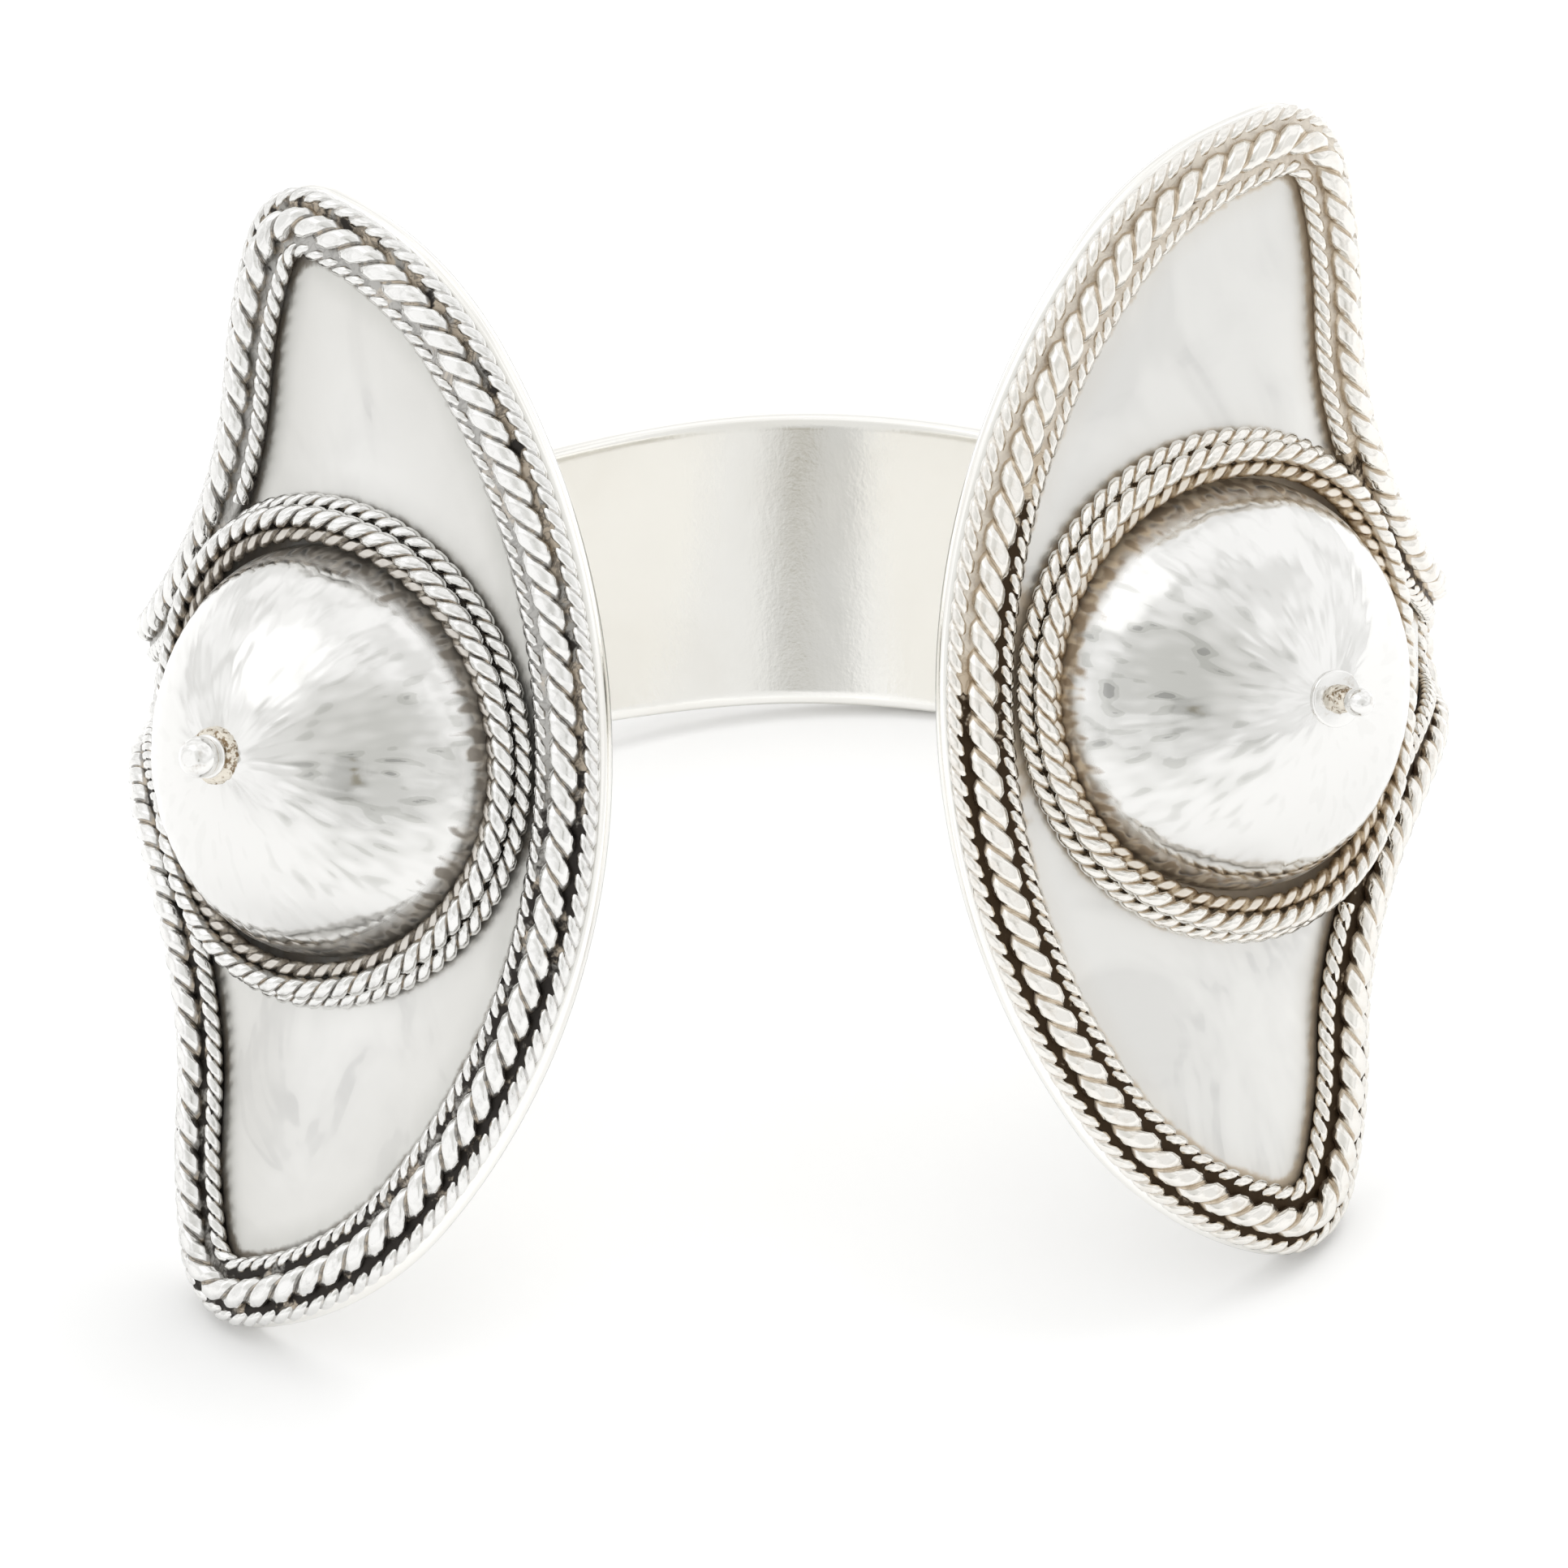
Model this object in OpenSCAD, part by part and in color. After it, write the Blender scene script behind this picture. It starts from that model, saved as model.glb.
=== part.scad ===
// An open arm ring in silver, resting on the lower tips of its two shields and
// on the lower edge of its band. All sizes are in millimetres and +Z is up.

/* [Hoop in plan] */
// Thickness of the sheet
sheet = 1.2; // [0.8:0.1:1.8]
// Radius of the outer face across the back
back_radius = 34; // [28:0.5:42]
// Turn of the back, from its middle to where the side bends begin
back_turn = 54; // [46:1:62]
// Radius of the outer face round each side
side_radius = 18.6; // [16:0.2:22]
// Direction of a boss in plan, away from straight ahead
boss_azimuth = 31; // [24:1:38]
// Radius of the outer face between the bosses and the gap
front_radius = 87; // [60:1:120]
// Inward lean of the upper edges
lean = 2.6; // [0:0.2:6]

/* [Shield outline] */
// Reach of a shield from its boss to the gap
gap_reach = 15.75; // [14.5:0.1:17]
// Radius of the edge beside the gap
gap_radius = 34.7; // [30:0.2:40]
// Turn of the edge beside the gap
gap_turn = 37.8; // [37:0.1:39]
// Radius of the edge below each tip
crown_radius = 17.8; // [17:0.1:19]
// Turn of the edge below each tip
crown_turn = 39; // [38:0.1:40]
// Radius of the rounded tips
tip_radius = 4.4; // [4:0.05:5]
// Turn round a tip
tip_turn = 84.1; // [83:0.1:86]
// Radius of the edge from a tip towards the band
heel_radius = 21.7; // [20:0.1:24]
// Radius of the hollow sweep that runs out onto the band
flare_radius = 12.8; // [12.2:0.1:13.2]

/* [Band] */
// Half the height of the band in the middle of the back
band_half = 7.7; // [6.5:0.1:9]
// Upward bow of the band across the middle of the back
arch_rise = 1.5; // [0:0.1:2.5]
// Distance from the middle of the back to where that bow ends
arch_reach = 22; // [15:1:30]

/* [Set by hand bending] */
// Height of the band's middle line at the back
back_height = 1.05; // [0:0.05:2]
// Height of the middle of the left shield
left_height = -3.15; // [-4:0.05:0]
// Height of the middle of the right shield
right_height = 2.03; // [0:0.05:4]
// Slope of the middle line at the left shield
left_slope = 0.055; // [0:0.005:0.08]
// Slope of the middle line at the back
back_slope = 0.02; // [0:0.005:0.04]
// Slope of the middle line at the right shield
right_slope = 0.023; // [0:0.005:0.05]
// Turn of the left shield within its own face
left_twist = 0.035; // [0:0.005:0.05]
// Height of the left boss above the middle of its shield
left_boss_up = 0.9; // [0:0.05:1]

/* [Rope borders] */
// Distance from the edge of the sheet to the outer rope
bare_rim = 0.12; // [0.1:0.02:0.3]
// Thickness of the fine ropes beside the coarse one
fine_rope = 0.82; // [0.7:0.01:0.9]
// Thickness of the coarse rope
coarse_rope = 1.5; // [1.3:0.05:1.6]
// Space between the coarse rope and the inner one
rope_gap = 0.15; // [0.1:0.05:0.4]

/* [Bosses] */
// Radius up and down round the outside of a boss's collar
collar_radius = 12.4; // [12:0.1:12.5]
// Half width of a collar towards the gap as a share of that radius
gap_share = 0.98; // [0.9:0.01:0.98]
// Half width of a boss towards the band as a share of that radius
band_share = 0.88; // [0.84:0.01:0.9]
// Thickness of the rope at the base of the collar
base_rope = 1.0; // [0.8:0.05:1.1]
// Thickness of the rope on top of the collar
top_rope = 1.1; // [0.9:0.05:1.2]
// Thickness of the rope round the foot of the dome
foot_rope = 0.82; // [0.7:0.02:0.9]
// Radius of the dome at its foot
dome_radius = 9.9; // [9:0.1:10.1]
// Half width of the dome towards the gap as a share of that radius
dome_gap_share = 1.01; // [0.94:0.01:1.01]
// Height of the dome above the shield
dome_height = 7.85; // [6.5:0.05:9]
// Thickness of the dome's metal
dome_sheet = 0.8; // [0.5:0.05:1.2]
// Power that draws the dome's side in from an ellipse towards a cone
dome_power = 1.16; // [1:0.02:1.4]
// Lean of the collar's top rope, inward from straight above the base rope
top_lean = 30; // [20:1:40]
// Diameter of the solder bead under the finial
bead_d = 2.6; // [2.4:0.1:3.2]
// Height of the solder bead
bead_up = 0.75; // [0.6:0.05:0.9]
// Diameter of the finial's washer
washer_d = 2.5; // [2.2:0.1:2.8]
// Thickness of the washer
washer_thick = 0.4; // [0.3:0.05:0.5]
// Diameter of the finial's stem
stem_d = 1.2; // [0.8:0.1:1.4]
// Diameter of the finial's ball
ball_d = 1.7; // [1.4:0.05:2]
// Height of the ball's middle above the top of the dome
ball_up = 2.1; // [2:0.05:2.4]

/* [Fit] */
// Clearance left between neighbouring pieces
clearance = 0.08; // [0.05:0.01:0.15]

/* [Hidden] */

silver = [0.86, 0.86, 0.85];
bright = [0.92, 0.92, 0.91];

left = -1;
right = 1;

// Steps and sides of the faceted pieces.
band_steps = 16;
end_steps = 4;
boss_steps = 40;
dome_steps = 8;
fine_sides = 6;
coarse_sides = 8;
finial_sides = 32;

// Lengths along the outer face, measured from the middle of the back.
back_len = back_radius * back_turn * PI / 180;
side_len = side_radius * (180 - back_turn - boss_azimuth) * PI / 180;
boss_at = back_len + side_len;

// Centres of the three arcs of the plan, worked back from the boss at y = 0.
side_x = back_radius * sin(back_turn) - side_radius * sin(back_turn);
side_y = side_radius * cos(boss_azimuth);
back_y = side_y + side_radius * cos(back_turn) - back_radius * cos(back_turn);
boss_x = side_x + side_radius * sin(boss_azimuth);
front_x = boss_x - front_radius * sin(boss_azimuth);
front_y = front_radius * cos(boss_azimuth);

// Direction that the outer face looks in, in plan, at a length t from the back.
function azimuth(t) =
    t < back_len ? 180 - t / back_radius * 180 / PI
    : t < boss_at ? 180 - back_turn - (t - back_len) / side_radius * 180 / PI
    : boss_azimuth - (t - boss_at) / front_radius * 180 / PI;

// Point of the outer face in plan, on the right half.
function plan(t) =
    let (a = azimuth(t))
    t < back_len ? [back_radius * sin(a), back_y - back_radius * cos(a)]
    : t < boss_at ? [side_x + side_radius * sin(a), side_y - side_radius * cos(a)]
    : [front_x + front_radius * sin(a), front_y - front_radius * cos(a)];

// Smooth curve through two heights with a given slope at each, k from 0 to 1.
function eased(k, y0, m0, y1, m1, run) =
    (2 * k ^ 3 - 3 * k ^ 2 + 1) * y0 + (k ^ 3 - 2 * k ^ 2 + k) * m0 * run
    + (3 * k ^ 2 - 2 * k ^ 3) * y1 + (k ^ 3 - k ^ 2) * m1 * run;

// Height of the hoop's middle line.
function middle(side, t) =
    let (end_height = side == left ? left_height : right_height)
    let (end_slope = side == left ? left_slope : right_slope)
    let (bow = t < arch_reach ? arch_rise * cos(90 * t / arch_reach) ^ 2 : 0)
    bow + (t > boss_at ? end_height + side * end_slope * (t - boss_at)
        : eased(t / boss_at, back_height, side * back_slope, end_height,
            side * end_slope, boss_at));

// Share of the left shield's twist that is present at a length t.
function twist(side, t) =
    side == right ? 0 : left_twist * min(1, max(0, (t - back_len) / side_len));

// A point of the standing hoop: t along it, v up it and n out from its face.
function standing(side, t, v, n) =
    let (along = t + twist(side, t) * v)
    let (a = azimuth(along))
    let (p = plan(along))
    let (out = n * cos(lean) - v * sin(lean))
    [side * (p.x + sin(a) * out), p.y - cos(a) * out,
        v * cos(lean) + n * sin(lean) + middle(side, t)];

// Outward direction of the face of the standing hoop.
function facing(side, t) =
    let (a = azimuth(t))
    [side * sin(a) * cos(lean), -cos(a) * cos(lean), sin(lean)];

// Arcs of the upper outline from the gap to the neck: radius, turn and steps.
// A turn below zero bends the outline the other way.
heel_turn = 180 - gap_turn - crown_turn - tip_turn;
outline_arcs = [
    [gap_radius, gap_turn, 8],
    [crown_radius, crown_turn, 7],
    [tip_radius, tip_turn, 8],
    [heel_radius, heel_turn, 3],
    [flare_radius, -90, 8]];

// Point on an arc that starts at p in direction h and has turned by d.
function on_arc(p, h, r, d) =
    let (s = d < 0 ? -r : r)
    [p.x + s * (sin(h + d) - sin(h)), p.y + s * (cos(h) - cos(h + d))];

// Points along a chain of arcs, all moved in by an inset.
function walk(p, h, arcs, inset, i = 0) =
    i == len(arcs) ? [p]
    : let (r = arcs[i][1] < 0 ? arcs[i][0] + inset : arcs[i][0] - inset)
      let (turn = arcs[i][1])
      let (steps = arcs[i][2])
      concat([for (k = [0:steps - 1]) on_arc(p, h, r, turn * k / steps)],
          walk(on_arc(p, h, r, turn), h + turn, arcs, inset, i + 1));

// Upper half of a shield's outline: distance from the boss, and height.
function outline(inset) = walk([gap_reach - inset, 0], 90, outline_arcs, inset);

last = len(outline(0)) - 1;
neck_at = boss_at + outline(0)[last].x;
neck_half = outline(0)[last].y;

// Half height of the band between the neck and the middle of the back.
function band_edge(t) =
    neck_half + (band_half - neck_half) * (1 + cos(180 * (t / neck_at) ^ 1.5)) / 2;

// Upper edge of one half of the hoop, from the gap to the middle of the back.
function half_edge(inset) =
    concat([for (p = outline(inset)) [boss_at + p.x, p.y]],
        [for (k = [1:band_steps]) let (t = neck_at * (1 - k / band_steps))
            [t, band_edge(t) - inset]]);

// Closed edge line of the whole hoop at an inset and a depth behind its face.
function edge_line(inset, n) =
    let (e = half_edge(inset))
    let (m = len(e) - 1)
    concat(
        [for (i = [0:m]) standing(right, e[i][0], e[i][1], n)],
        [for (i = [m - 1:-1:0]) standing(left, e[i][0], e[i][1], n)],
        [for (i = [1:m]) standing(left, e[i][0], -e[i][1], n)],
        [for (i = [m - 1:-1:1]) standing(right, e[i][0], -e[i][1], n)]);

// The rounded edge of the sheet: inset and depth of each line along it.
edge_round = 0.42 * sheet;
edge_shape = [[edge_round, 0], [0, -edge_round], [0, edge_round - sheet],
    [edge_round, -sheet]];
edge_lines = [for (e = edge_shape) edge_line(e[0], e[1])];
around = len(edge_lines[0]);
crossings = around / 2;

// Triangles that cover the face between the upper and the lower edge line.
function face_fan(base, flip) =
    [for (i = [0:crossings - 1]) let (a = base + i)
        let (b = base + i + 1)
        let (c = base + (around - i) % around)
        let (d = base + (around - i - 1) % around)
        for (f = [[a, b, d], [a, d, c]])
            if (f[0] != f[1] && f[1] != f[2] && f[2] != f[0])
                flip ? [f[0], f[2], f[1]] : f];

// Triangles between neighbouring closed lines of equal length.
function skin(lines, count, closed = false) =
    [for (j = [0:lines - (closed ? 1 : 2)]) for (i = [0:count - 1])
        let (a = j * count + i)
        let (b = j * count + (i + 1) % count)
        let (c = (j + 1) % lines * count + (i + 1) % count)
        let (d = (j + 1) % lines * count + i)
        for (f = [[a, c, b], [a, d, c]]) f];

// Resting pose. Three points carry the hoop: the lower tip of each shield and
// one on the lower edge of the band. Each is the one furthest along the
// downward direction of the first guess, then of the plane found from it.
function furthest(points, way) =
    let (reach = [for (p = points) p * way])
    points[search(max(reach), reach)[0]];
function unit(v) = v / norm(v);
hoop_points = [for (line = edge_lines) for (p = line) p];
left_points = [for (p = hoop_points) if (p.y < side_y && p.x < 0) p];
right_points = [for (p = hoop_points) if (p.y < side_y && p.x > 0) p];
back_points = [for (p = hoop_points) if (p.y >= side_y) p];
function up_from(down) =
    let (l = furthest(left_points, down))
    let (r = furthest(right_points, down))
    let (b = furthest(back_points, down))
    unit(cross(r - l, b - l));
first_guess = [0, -0.5, 0.85];
up = up_from(-up_from(-up_from(-first_guess)));
roll = -atan2(up.x, up.z);
tilt = atan2(up.y, norm([up.x, up.z]));

// The same pose for single points, to find how far to lift and centre.
function rolled(p) = [p.x * cos(roll) + p.z * sin(roll), p.y,
    p.z * cos(roll) - p.x * sin(roll)];
function tilted(p) = [p.x, p.y * cos(tilt) - p.z * sin(tilt),
    p.y * sin(tilt) + p.z * cos(tilt)];
posed = [for (p = hoop_points) tilted(rolled(p))];
ball_tip = dome_height + ball_up + ball_d / 2;
tips = [for (s = [left, right])
    tilted(rolled(standing(s, boss_at, boss_up(s), 0) + facing(s, boss_at) * ball_tip))];
all_x = [for (p = concat(posed, tips)) p.x];
all_y = [for (p = concat(posed, tips)) p.y];
centre_x = (min(all_x) + max(all_x)) / 2;
centre_y = (min(all_y) + max(all_y)) / 2;
lift = -min([for (p = posed) p.z]);

// Puts a standing piece into the resting pose.
module rested() {
    translate([-centre_x, -centre_y, lift])
        rotate([tilt, 0, 0])
            rotate([0, roll, 0])
                children();
}

// The band and both shields, one piece of sheet.
module hoop() {
    lines = len(edge_shape);
    color(silver)
        rested()
            polyhedron(
                points = hoop_points,
                faces = concat(
                    face_fan(0, false),
                    skin(lines, around),
                    face_fan((lines - 1) * around, true)));
}

// Height of a boss above the middle line of its shield.
function boss_up(side) = side == left ? left_boss_up : 0;

// A round wire along a path of [t, v] points at a height n, closed or capped.
module wire(side, path, n, r, sides, closed) {
    count = len(path);
    line = [for (p = path) standing(side, p.x, p.y, n)];
    before = [for (i = [0:count - 1]) line[closed ? (i + count - 1) % count : max(0, i - 1)]];
    after = [for (i = [0:count - 1]) line[closed ? (i + 1) % count : min(count - 1, i + 1)]];
    points = [for (i = [0:count - 1])
        let (way = unit(after[i] - before[i]))
        let (across = unit(cross(way, facing(side, path[i].x))))
        let (out = cross(across, way))
        for (k = [0:sides - 1])
            let (q = 360 * k / sides)
            line[i] + r * (cos(q) * out + sin(q) * across)];
    start_cap = [for (k = [0:sides - 1]) k];
    end_cap = [for (k = [0:sides - 1]) count * sides - 1 - k];
    polyhedron(points = points,
        faces = concat(skin(count, sides, closed), closed ? [] : [start_cap, end_cap]));
}

// Upper half of a border rope's path, its end rounded across the neck.
function upper_path(inset) =
    let (half = outline(inset))
    let (tail = half[len(half) - 1])
    let (end = [for (k = [1:end_steps]) on_arc(tail, 180, tail.y, 90 * k / end_steps)])
    [for (p = concat(half, end)) [boss_at + p.x, p.y]];

// The same path closed round the lower half.
function border_path(inset) =
    let (upper = upper_path(inset))
    concat(upper, [for (i = [len(upper) - 2:-1:1]) [upper[i].x, -upper[i].y]]);

outer_inset = bare_rim + fine_rope / 2;
coarse_inset = outer_inset + (fine_rope + coarse_rope) / 2 + clearance;
inner_inset = coarse_inset + (fine_rope + coarse_rope) / 2 + rope_gap;

module border_rope(side, inset, d, sides) {
    color(bright)
        rested()
            wire(side, border_path(inset), clearance + d / 2, d / 2, sides, true);
}

// The inner rope is cut where the collar sits across its path, or where it comes
// nearest to it. One length runs round the field of the shield, the other round
// the neck behind the boss.
inner_upper = upper_path(inner_inset);
far = len(inner_upper) - 1;

// Room between the collar and a rope whose middle passes through p.
function room(side, p) =
    let (x = (p.x - boss_at) / (p.x > boss_at ? gap_share : band_share))
    let (y = p.y - boss_up(side))
    norm([x, y]) - collar_radius - fine_rope / 2 - 2 * clearance;

// Half of one length, above (up = 1) or below (up = -1), out to its cut.
function half_run(side, up, from, step) =
    let (line = [for (p = inner_upper) [p.x, up * p.y]])
    let (rooms = [for (p = line) p.x < boss_at ? room(side, p) : collar_radius])
    let (nearest = search(min(rooms), rooms)[0])
    let (stop = [for (i = [from:step:nearest]) if (rooms[i] < 0 || i == nearest) i][0])
    let (a = line[stop - step])
    let (b = line[stop])
    let (reach = rooms[stop] < 0 ? room(side, a) / (room(side, a) - room(side, b))
        : 1 - clearance / norm(b - a))
    concat([for (i = [from:step:stop - step]) line[i]], [a + (b - a) * reach]);
function backwards(list) = [for (i = [len(list) - 1:-1:1]) list[i]];

module inner_run(side, from, step) {
    lower = half_run(side, -1, from, step);
    upper = half_run(side, 1, from, step);
    color(bright)
        rested()
            wire(side, concat(backwards(lower), upper), clearance + fine_rope / 2,
                fine_rope / 2, fine_sides, false);
}

// A point at direction q and radius r in an oval round a boss, with its share
// towards the gap.
function boss_point(q, r, gap) =
    [(cos(q) > 0 ? gap : band_share) * r * cos(q), r * sin(q)];

// Closed path of a collar's rope round the boss.
function collar_path(side, r, gap) =
    [for (k = [0:boss_steps - 1]) let (p = boss_point(360 * k / boss_steps, r, gap))
        [boss_at + p.x, boss_up(side) + p.y]];

base_r = collar_radius - base_rope / 2;
base_n = clearance + base_rope / 2;
// The top rope lies on the base rope, leaning in over the foot of the dome.
stack = (base_rope + top_rope) / 2 + clearance;
top_r = base_r - stack * sin(top_lean);
top_n = base_n + stack * cos(top_lean);
foot_r = dome_radius + foot_rope / 2 + 2 * clearance;
foot_n = clearance + foot_rope / 2;

module collar_rope(side, r, n, d, gap = gap_share) {
    color(bright)
        rested()
            wire(side, collar_path(side, r, gap), n, d / 2, fine_sides, true);
}

// The rope round the foot of the dome keeps to the dome's own outline.
module foot_rope_ring(side) {
    collar_rope(side, foot_r, foot_n, foot_rope, dome_gap_share);
}

// Side line of the dome: radius and height, from the foot to the top.
function dome_line(inset) =
    [for (k = [0:dome_steps]) let (q = 90 * k / dome_steps)
        [(dome_radius - inset) * cos(q) ^ dome_power,
            clearance + (dome_height - clearance - inset) * sin(q) ^ dome_power]];

// A point of the dome. The foot follows the face, the top stands square on it.
function on_dome(side, k, r, n) =
    let (p = boss_point(-side * 360 * k / boss_steps, r, dome_gap_share))
    let (low = standing(side, boss_at + p.x, boss_up(side) + p.y, n))
    let (seat = standing(side, boss_at, boss_up(side), 0))
    let (a = azimuth(boss_at))
    let (level = [-side * cos(a), -sin(a), 0])
    let (upward = [-side * sin(a) * sin(lean), cos(a) * sin(lean), cos(lean)])
    let (high = seat + p.x * level + p.y * upward + n * facing(side, boss_at))
    let (mix = (1 - n / dome_height) ^ 2)
    mix * low + (1 - mix) * high;

module dome(side) {
    outer = dome_line(0);
    inner = dome_line(dome_sheet);
    rings = concat([for (i = [0:dome_steps - 1]) outer[i]],
        [for (i = [dome_steps - 1:-1:0]) inner[i]]);
    top = dome_steps * boss_steps;
    points = concat(
        [for (c = rings) for (k = [0:boss_steps - 1]) on_dome(side, k, c[0], c[1])],
        [for (n = [dome_height, dome_height - dome_sheet]) on_dome(side, 0, 0, n)]);
    crown = len(points) - 2;
    wall = [for (f = skin(2 * dome_steps, boss_steps, true))
        if (!(min(f) < top && max(f) >= top && min(f) >= top - boss_steps)) f];
    cap = [for (k = [0:boss_steps - 1]) let (m = (k + 1) % boss_steps)
        for (f = [[top - boss_steps + m, top - boss_steps + k, crown],
            [top + k, top + m, crown + 1]]) f];
    color(silver)
        rested()
            polyhedron(points = points, faces = concat(wall, cap));
}

// The bead of solder, the washer and the ball on top of a dome.
module finial(side) {
    way = facing(side, boss_at);
    seat = standing(side, boss_at, boss_up(side), 0) + way * (dome_height + clearance);
    color(bright)
        rested()
            translate(seat)
                rotate([0, 90 - lean, atan2(way.y, way.x)])
                    rotate_extrude($fn = finial_sides)
                        intersection() {
                            union() {
                                polygon([[0, 0], [bead_d / 2, 0], [stem_d / 2, bead_up], [0, bead_up]]);
                                translate([0, bead_up]) square([washer_d / 2, washer_thick]);
                                square([stem_d / 2, ball_up]);
                                translate([0, ball_up]) circle(d = ball_d, $fn = finial_sides);
                            }
                            square([bead_d, 2 * ball_up]);
                        }
}

hoop();
dome(left);  // dome_left
dome(right);  // dome_right
finial(left);  // finial_left
finial(right);  // finial_right
border_rope(left, outer_inset, fine_rope, fine_sides);  // outer_rope_left
border_rope(right, outer_inset, fine_rope, fine_sides);  // outer_rope_right
border_rope(left, coarse_inset, coarse_rope, coarse_sides);  // coarse_rope_left
border_rope(right, coarse_inset, coarse_rope, coarse_sides);  // coarse_rope_right
inner_run(left, 0, 1);  // inner_rope_left
inner_run(right, 0, 1);  // inner_rope_right
inner_run(left, far, -1);  // neck_rope_left
inner_run(right, far, -1);  // neck_rope_right
collar_rope(left, base_r, base_n, base_rope);  // collar_base_left
collar_rope(right, base_r, base_n, base_rope);  // collar_base_right
collar_rope(left, top_r, top_n, top_rope);  // collar_top_left
collar_rope(right, top_r, top_n, top_rope);  // collar_top_right
foot_rope_ring(left);  // collar_foot_left
foot_rope_ring(right);  // collar_foot_right
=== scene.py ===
"""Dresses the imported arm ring: smooth sheet, hammered domes, twisted wires and studio."""

import logging
import math
from bisect import bisect_right
from dataclasses import dataclass
from enum import Enum
from functools import cached_property
from itertools import accumulate
from typing import Callable, Iterable, Sequence

import bpy
from mathutils import Matrix, Vector, noise


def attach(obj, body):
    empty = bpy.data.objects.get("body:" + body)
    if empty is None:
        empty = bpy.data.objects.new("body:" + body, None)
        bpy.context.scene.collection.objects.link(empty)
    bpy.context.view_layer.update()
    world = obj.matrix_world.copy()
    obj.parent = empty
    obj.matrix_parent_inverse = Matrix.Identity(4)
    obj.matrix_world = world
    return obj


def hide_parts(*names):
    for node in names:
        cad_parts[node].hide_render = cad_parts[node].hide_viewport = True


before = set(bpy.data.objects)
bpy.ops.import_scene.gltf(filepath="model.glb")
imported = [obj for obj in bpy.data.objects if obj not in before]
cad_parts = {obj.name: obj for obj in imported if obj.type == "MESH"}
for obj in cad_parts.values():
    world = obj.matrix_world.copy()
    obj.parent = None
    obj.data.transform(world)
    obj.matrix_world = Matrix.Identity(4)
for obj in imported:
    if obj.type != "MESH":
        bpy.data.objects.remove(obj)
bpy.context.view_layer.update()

MM = 0.001
LOG = logging.getLogger("arm_ring")

Pair = tuple[float, float]
Triple = tuple[float, float, float]
Colour = tuple[float, float, float]
Placer = Callable[[int, int], Vector]
Marker = Callable[[int, int], float]


class Side(Enum):
    """The two halves of the ring, as the gap is faced."""

    LEFT = -1
    RIGHT = 1

    @property
    def word(self) -> str:
        """The side's name as it stands in the names of the pieces."""
        return self.name.lower()


@dataclass(frozen=True)
class Arc:
    """One arc of the shield's outline, with a turn below zero where it bends inwards."""

    radius: float
    turn: float
    steps: int


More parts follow.
